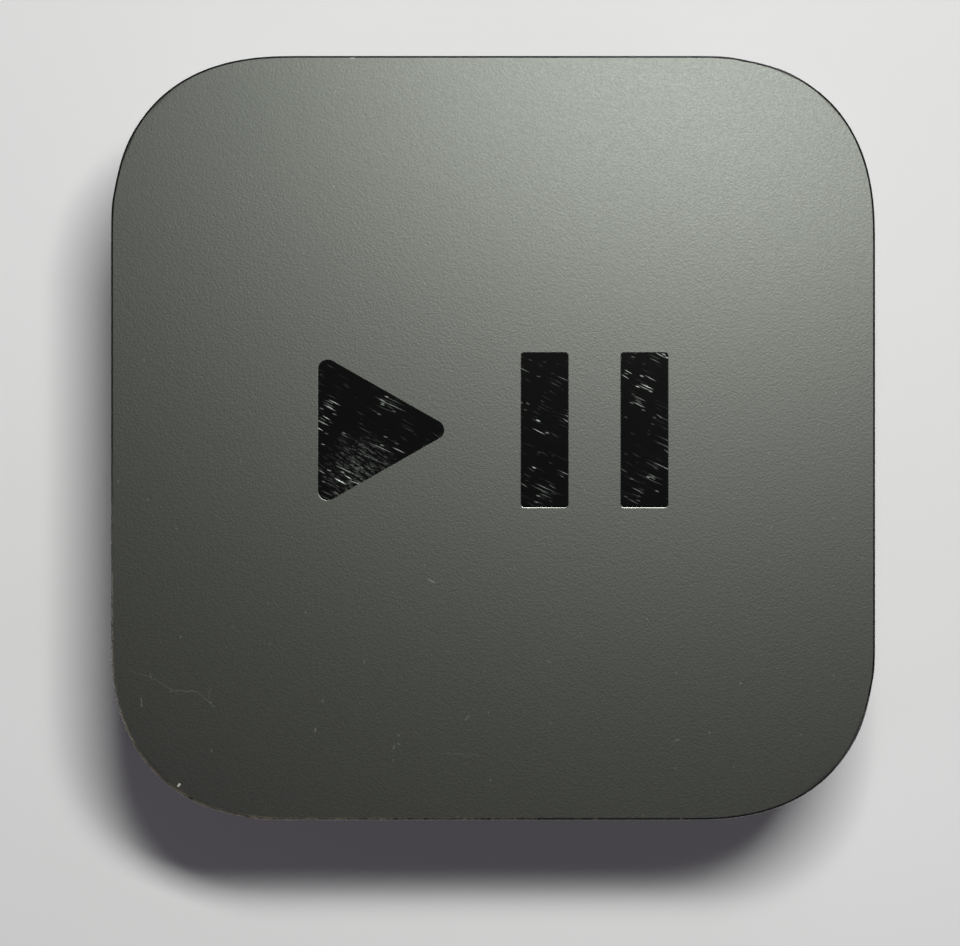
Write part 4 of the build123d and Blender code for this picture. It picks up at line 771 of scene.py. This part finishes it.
def grid_faces(rows: int, columns: int, first: int = 0) -> Array:
    """Quads of a tube-like grid that closes on itself across its columns.

    Args:
        rows: number of rings.
        columns: number of corners in each ring.
        first: number of the grid's first corner.

    Returns:
        Corner numbers, four to a row, turned so that rings counted upwards face outwards.
    """
    row, column = np.mgrid[0:rows - 1, 0:columns]
    after = (column + 1) % columns
    quads = np.stack([row * columns + column, row * columns + after,
                      (row + 1) * columns + after, (row + 1) * columns + column], axis=-1)
    return quads.reshape(-1, 4) + first


def wire(path: Array, across: Array, radius: float, sides: int = 8) -> tuple[Array, Array]:
    """Round wire along a path: a circle carried along it, closed flat at both ends.

    The circle's plane at each point is spanned by the given direction across the path and by the
    cross product of the path's tangent with it.

    Args:
        path: points along the wire, one row each.
        across: a direction that isn't along the path, one row for each point.
        radius: the wire's radius.
        sides: corners in each ring.

    Returns:
        The corners, and the faces as corner numbers.
    """
    along = np.gradient(path, axis=0)
    along /= np.linalg.norm(along, axis=1, keepdims=True)
    first = across - along * (across * along).sum(1, keepdims=True)
    first /= np.linalg.norm(first, axis=1, keepdims=True)
    second = np.cross(along, first)
    turn = np.linspace(0, 2 * np.pi, sides, endpoint=False)
    ring = np.cos(turn)[None, :, None] * first[:, None] + np.sin(turn)[None, :, None] * second[:, None]
    points = path[:, None] + radius * ring
    near = np.arange(sides // 2 - 1)
    cap = np.stack([near, near + 1, sides - 2 - near, sides - 1 - near], axis=-1)
    faces = np.concatenate([grid_faces(len(path), sides), cap[:, ::-1], cap + (len(path) - 1) * sides])
    return points.reshape(-1, 3), faces


def join_parts(parts: Sequence[tuple[Array, Array]]) -> tuple[Array, Array]:
    """Join several sets of corners and faces.

    Args:
        parts: corners and faces of each set.

    Returns:
        The corners and faces as one set.
    """
    counts = np.cumsum([0] + [len(points) for points, _ in parts[:-1]])
    return (np.concatenate([points for points, _ in parts]),
            np.concatenate([faces + count for (_, faces), count in zip(parts, counts)]))


def squared(turn: Array, power: float) -> tuple[Array, Array]:
    """Points of a superellipse with half-widths of one, for a loop with flat sides and round corners.

    Args:
        turn: angles round the loop.
        power: two for a circle, and more for squarer corners.

    Returns:
        The two coordinates: the cosine and the sine of the angle, each to the power 2 / power with
        its sign kept.
    """
    wide = np.sign(np.cos(turn)) * np.abs(np.cos(turn)) ** (2 / power)
    high = np.sign(np.sin(turn)) * np.abs(np.sin(turn)) ** (2 / power)
    return wide, high


# ------------------------------------------------------------------ sub-assemblies


@dataclass
class Assembly:
    """A group of frame nodes with their finishes, and the pieces made for it."""

    weld_gap: float = 0.001 * MM
    crisp_angle: float = 28.0
    level_weight: int = 100
    finishes: dict[str, Finish] = field(default_factory=dict)

    def build(self) -> None:
        """Dress the frame's own nodes, then make the extra pieces."""
        for node, finish in self.finishes.items():
            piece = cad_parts[node]
            finish.dress(piece)
            self.smooth(piece)
            log.info("dressed %s as %s", node, finish.name)
        self.make()

    def smooth(self, piece: bpy.types.Object) -> None:
        """Shade a node's curved faces smooth, and keep its edges crisp.

        Its triangles are loose, so a modifier welds them, and another splits them at sharp edges. A
        third gives large faces the say over the normals, so that flats stay flat beside a round.

        Args:
            piece: the node's mesh object.
        """
        mesh = piece.data
        mesh.polygons.foreach_set("use_smooth", np.full(len(mesh.polygons), True))
        weld = piece.modifiers.new("weld", "WELD")
        weld.merge_threshold = self.weld_gap
        split = piece.modifiers.new("edges", "EDGE_SPLIT")
        split.split_angle = np.radians(self.crisp_angle)
        level = piece.modifiers.new("normals", "WEIGHTED_NORMAL")
        level.mode = "FACE_AREA"
        level.weight = self.level_weight

    def make(self) -> None:
        """Make pieces of its own, where the group has some."""


@dataclass
class Case(Assembly):
    """Housing, base cover, feet and the light's window, with the printed signs by the sockets."""

    finishes: dict[str, Finish] = field(default_factory=lambda: {
        "housing": CASE_PLASTIC,
        "base_cover": BASE_PLASTIC,
        "foot_pads": FOOT_ELASTOMER,
        "light_guide": CLEAR_ACRYLIC,
    })


@dataclass
class Cooling(Assembly):
    """Fan, heat sink and what joins them."""

    arms: int = 6
    coil_from: float = 5.12 * MM
    coil_to: float = 8.43 * MM
    coil_level: float = 8.0 * MM
    coil_half: tuple[tuple[float, float], ...] = ((1.2 * MM, 0.9 * MM), (1.45 * MM, 1.15 * MM))
    wire_radius: float = 0.135 * MM
    loop_power: float = 4.0
    steps_a_turn: int = 24
    finishes: dict[str, Finish] = field(default_factory=lambda: {
        "intake_seal": SEAL_FOAM,
        "fan_frame": FAN_PLASTIC,
        "fan_cover": PLATED_STEEL,
        "fan_impeller": IMPELLER_PLASTIC,
        "fan_shaft": GROUND_STEEL,
        "fan_bearing": BEARING_BRONZE,
        "fan_yoke": PLATED_STEEL,
        "fan_magnet": MAGNET_FERRITE,
        "fan_stator_core": LAMINATION,
        "fan_coils": COPPER_WIRE,
        "fan_driver_board": SUPPLY_MASK,
        "fan_contact_block": SOCKET_PLASTIC,
        "fan_contact_pins": GOLD_PLATE,
        "fan_screws": BLACK_SCREW,
        "heat_sink": CAST_ALUMINIUM,
        "thermal_pad": SILICONE_PAD,
        "case_screws": BLACK_SCREW,
    })

    def make(self) -> None:
        """Wind the coils in place of their plain blocks: two layers of wire round each stator arm.

        Along an arm the wire's middle is at x = start + pitch * t / 2 pi, and round it at the point
        t of a superellipse. Each coil is then turned about Z to its arm.
        """
        turns = int((self.coil_to - self.coil_from) / (2 * self.wire_radius))
        t = np.linspace(0, 2 * np.pi * turns, self.steps_a_turn * turns + 1)
        along = np.linspace(self.coil_from, self.coil_to, len(t))
        wide, high = squared(t, self.loop_power)
        coils = []
        for half_y, half_z in self.coil_half:
            path = np.stack([along, half_y * wide, half_z * high], axis=-1)
            points, faces = wire(path, np.tile((1.0, 0.0, 0.0), (len(t), 1)), self.wire_radius)
            for angle in 2 * np.pi / self.arms * np.arange(self.arms):
                cos, sin = np.cos(angle), np.sin(angle)
                spin = np.array([[cos, -sin, 0], [sin, cos, 0], [0, 0, 1]])
                coils.append((points @ spin.T + (0, 0, self.coil_level), faces))
        piece = put_mesh("fan_coil_turns", *join_parts(coils))
        COPPER_WIRE.dress(piece)
        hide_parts("fan_coils")
        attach(piece, "case")


@dataclass
class LogicBoard(Assembly):
    """The main board and the parts on it."""

    finishes: dict[str, Finish] = field(default_factory=lambda: {
        "logic_board": LOGIC_MASK,
        "processor": CHIP_EPOXY,
        "memory_chips": CHIP_EPOXY,
        "shield_can": TINNED_STEEL,
        "board_chips": CHIP_EPOXY,
        "board_inductors": FERRITE,
        "board_capacitors": CERAMIC_CHIP,
        "wireless_module": TINNED_STEEL,
        "antennas": STAMPED_BRASS,
        "network_magnetics": CHIP_EPOXY,
        "status_light": CLEAR_LENS,
        "remote_receiver": DARK_EPOXY,
    })


@dataclass
class Sockets(Assembly):
    """The three sockets in the rear wall."""

    finishes: dict[str, Finish] = field(default_factory=lambda: {
        "video_socket_shell": PLATED_STEEL,
        "video_socket_insert": SOCKET_PLASTIC,
        "video_socket_contacts": GOLD_PLATE,
        "network_socket_body": SOCKET_PLASTIC,
        "network_socket_shell": PLATED_STEEL,
        "network_socket_contacts": GOLD_PLATE,
        "power_inlet_body": SOCKET_PLASTIC,
        "power_inlet_pins": NICKEL_PIN,
    })


@dataclass
class PowerSupply(Assembly):
    """The mains supply, hung under the top."""

    choke_radius: float = 4.6 * MM
    choke_half: tuple[float, float] = (1.83 * MM, 2.83 * MM)
    choke_turns: int = 7
    choke_pitch: float = 17.0
    choke_wire: float = 0.33 * MM
    choke_sides: int = 10
    loop_power: float = 4.0
    steps_a_turn: int = 32
    finishes: dict[str, Finish] = field(default_factory=lambda: {
        "power_board": SUPPLY_MASK,
        "power_tray": INSULATOR_FILM,
        "power_board_screws": BLACK_SCREW,
        "power_posts": TURNED_BRASS,
        "power_post_screws": BLACK_SCREW,
        "transformer_core": FERRITE,
        "transformer_winding": TAPE,
        "transformer_bobbin": CHIP_EPOXY,
        "bulk_capacitors": SLEEVE,
        "output_capacitors": SLEEVE,
        "film_capacitor": FILM_CASE,
        "disc_capacitor": DIPPED_EPOXY,
        "choke_core": FERRITE,
        "choke_windings": COPPER_WIRE,
        "fuse": CHIP_EPOXY,
        "rectifier": CHIP_EPOXY,
    })

    def make(self) -> None:
        """Wind the choke in place of its plain turns: two banks, on opposite sides of the ring.

        The wire's middle is at ring radius + width * cos t and height * sin t, squared off like the
        ring's own section, while its place round the ring grows by one pitch a turn.
        """
        low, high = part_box("choke_core")
        middle = np.array((low + high) / 2)
        t = np.linspace(0, 2 * np.pi * self.choke_turns, self.steps_a_turn * self.choke_turns + 1)
        wide, tall = squared(t, self.loop_power)
        banks = []
        for bank in (np.pi / 2, 3 * np.pi / 2):
            round_it = bank + np.radians(self.choke_pitch) * (t / (2 * np.pi) - self.choke_turns / 2)
            reach = self.choke_radius + self.choke_half[0] * wide
            path = np.stack([reach * np.cos(round_it), reach * np.sin(round_it), self.choke_half[1] * tall],
                            axis=-1)
            across = np.stack([-np.sin(round_it), np.cos(round_it), 0 * t], axis=-1)
            banks.append(wire(path + middle, across, self.choke_wire, self.choke_sides))
        piece = put_mesh("choke_turns", *join_parts(banks))
        COPPER_WIRE.dress(piece)
        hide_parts("choke_windings")
        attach(piece, "case")


# ------------------------------------------------------------------ studio


@dataclass(frozen=True)
class Panel:
    """A soft rectangular light: where its middle is, its two sides, and how bright it looks."""

    name: str
    at: tuple[float, float, float]
    size: tuple[float, float]
    radiance: float
    colour: str = "#ffffff"


@dataclass
class Studio:
    """Pale floor, soft lights and the camera, which looks straight down.

    The key light is high at the upper right, and the low panels are for the polished walls.
    """

    panels: tuple[Panel, ...] = (
        Panel("key", (0.052, 0.128, 0.45), (0.146, 0.05), 100.0, "#f8fff3"),
        Panel("left_panel", (-0.9, -0.25, 0.35), (0.5, 0.22), 3.0),
        Panel("right_panel", (0.9, -0.5, 0.3), (0.45, 0.2), 3.6),
        Panel("rear_panel", (0.35, 1.1, 0.45), (0.6, 0.25), 3.4),
    )
    aim: tuple[float, float, float] = (0.0, 0.0, 35 * MM)
    floor_half: float = 3.0
    camera_height: float = 0.40
    camera_shift: tuple[float, float] = (-1.67 * MM, -4.49 * MM)
    view_width: float = 123.0 * MM  # what the picture's width takes in at the level of the case's top
    sensor: float = 36.0
    world_light: float = 0.04
    world_colour: str = "#f4f6ff"
    near_clip: float = 10 * MM

    def floor(self) -> None:
        """One large square, just under the feet."""
        reach = self.floor_half
        points = np.array([(-reach, -reach, 0), (reach, -reach, 0), (reach, reach, 0), (-reach, reach, 0)])
        ground = put_mesh("floor", points, np.array([[0, 1, 2, 3]]), smooth=False)
        FLOOR_PAINT.dress(ground)

    def light(self, panel: Panel) -> None:
        """Make a light that faces the case. Its power is its radiance times pi times its area.

        Args:
            panel: what it is.
        """
        lamp = bpy.data.lights.new(panel.name, "AREA")
        lamp.shape = "RECTANGLE"
        lamp.size, lamp.size_y = panel.size
        lamp.energy = panel.radiance * np.pi * panel.size[0] * panel.size[1]
        lamp.color = linear(panel.colour)[:3]
        light = bpy.data.objects.new(panel.name, lamp)
        bpy.context.scene.collection.objects.link(light)
        light.location = panel.at
        aim = Vector(self.aim) - light.location
        light.rotation_euler = aim.to_track_quat("-Z", "Y").to_euler()
        light.visible_camera = False

    def world(self) -> None:
        """A dim even surround, so that the polished black stays black from above."""
        scene = bpy.context.scene
        scene.world = bpy.data.worlds.new("studio")
        scene.world.use_nodes = True
        back = scene.world.node_tree.nodes["Background"]
        back.inputs["Color"].default_value = linear(self.world_colour)
        back.inputs["Strength"].default_value = self.world_light
        scene.view_settings.view_transform = "Standard"

    def camera(self) -> None:
        """A camera straight above, whose view width at the top's level sets the lens."""
        lens = bpy.data.cameras.new("camera")
        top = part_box("housing")[1].z
        lens.sensor_width = self.sensor
        lens.lens = self.sensor * (self.camera_height - top) / self.view_width
        lens.clip_start = self.near_clip
        eye = bpy.data.objects.new("camera", lens)
        eye.location = (*self.camera_shift, self.camera_height)
        bpy.context.scene.collection.objects.link(eye)
        bpy.context.scene.camera = eye

    def build(self) -> None:
        """Set up everything around the object."""
        self.floor()
        for panel in self.panels:
            self.light(panel)
        self.world()
        self.camera()
        log.info("studio ready")


def main() -> None:
    """Build every sub-assembly in order, then the studio."""
    logging.basicConfig(level=logging.INFO, format="%(name)s: %(message)s")
    for assembly in (Case(), Cooling(), LogicBoard(), Sockets(), PowerSupply()):
        assembly.build()
    Studio().build()


if __name__ == "__main__":
    main()
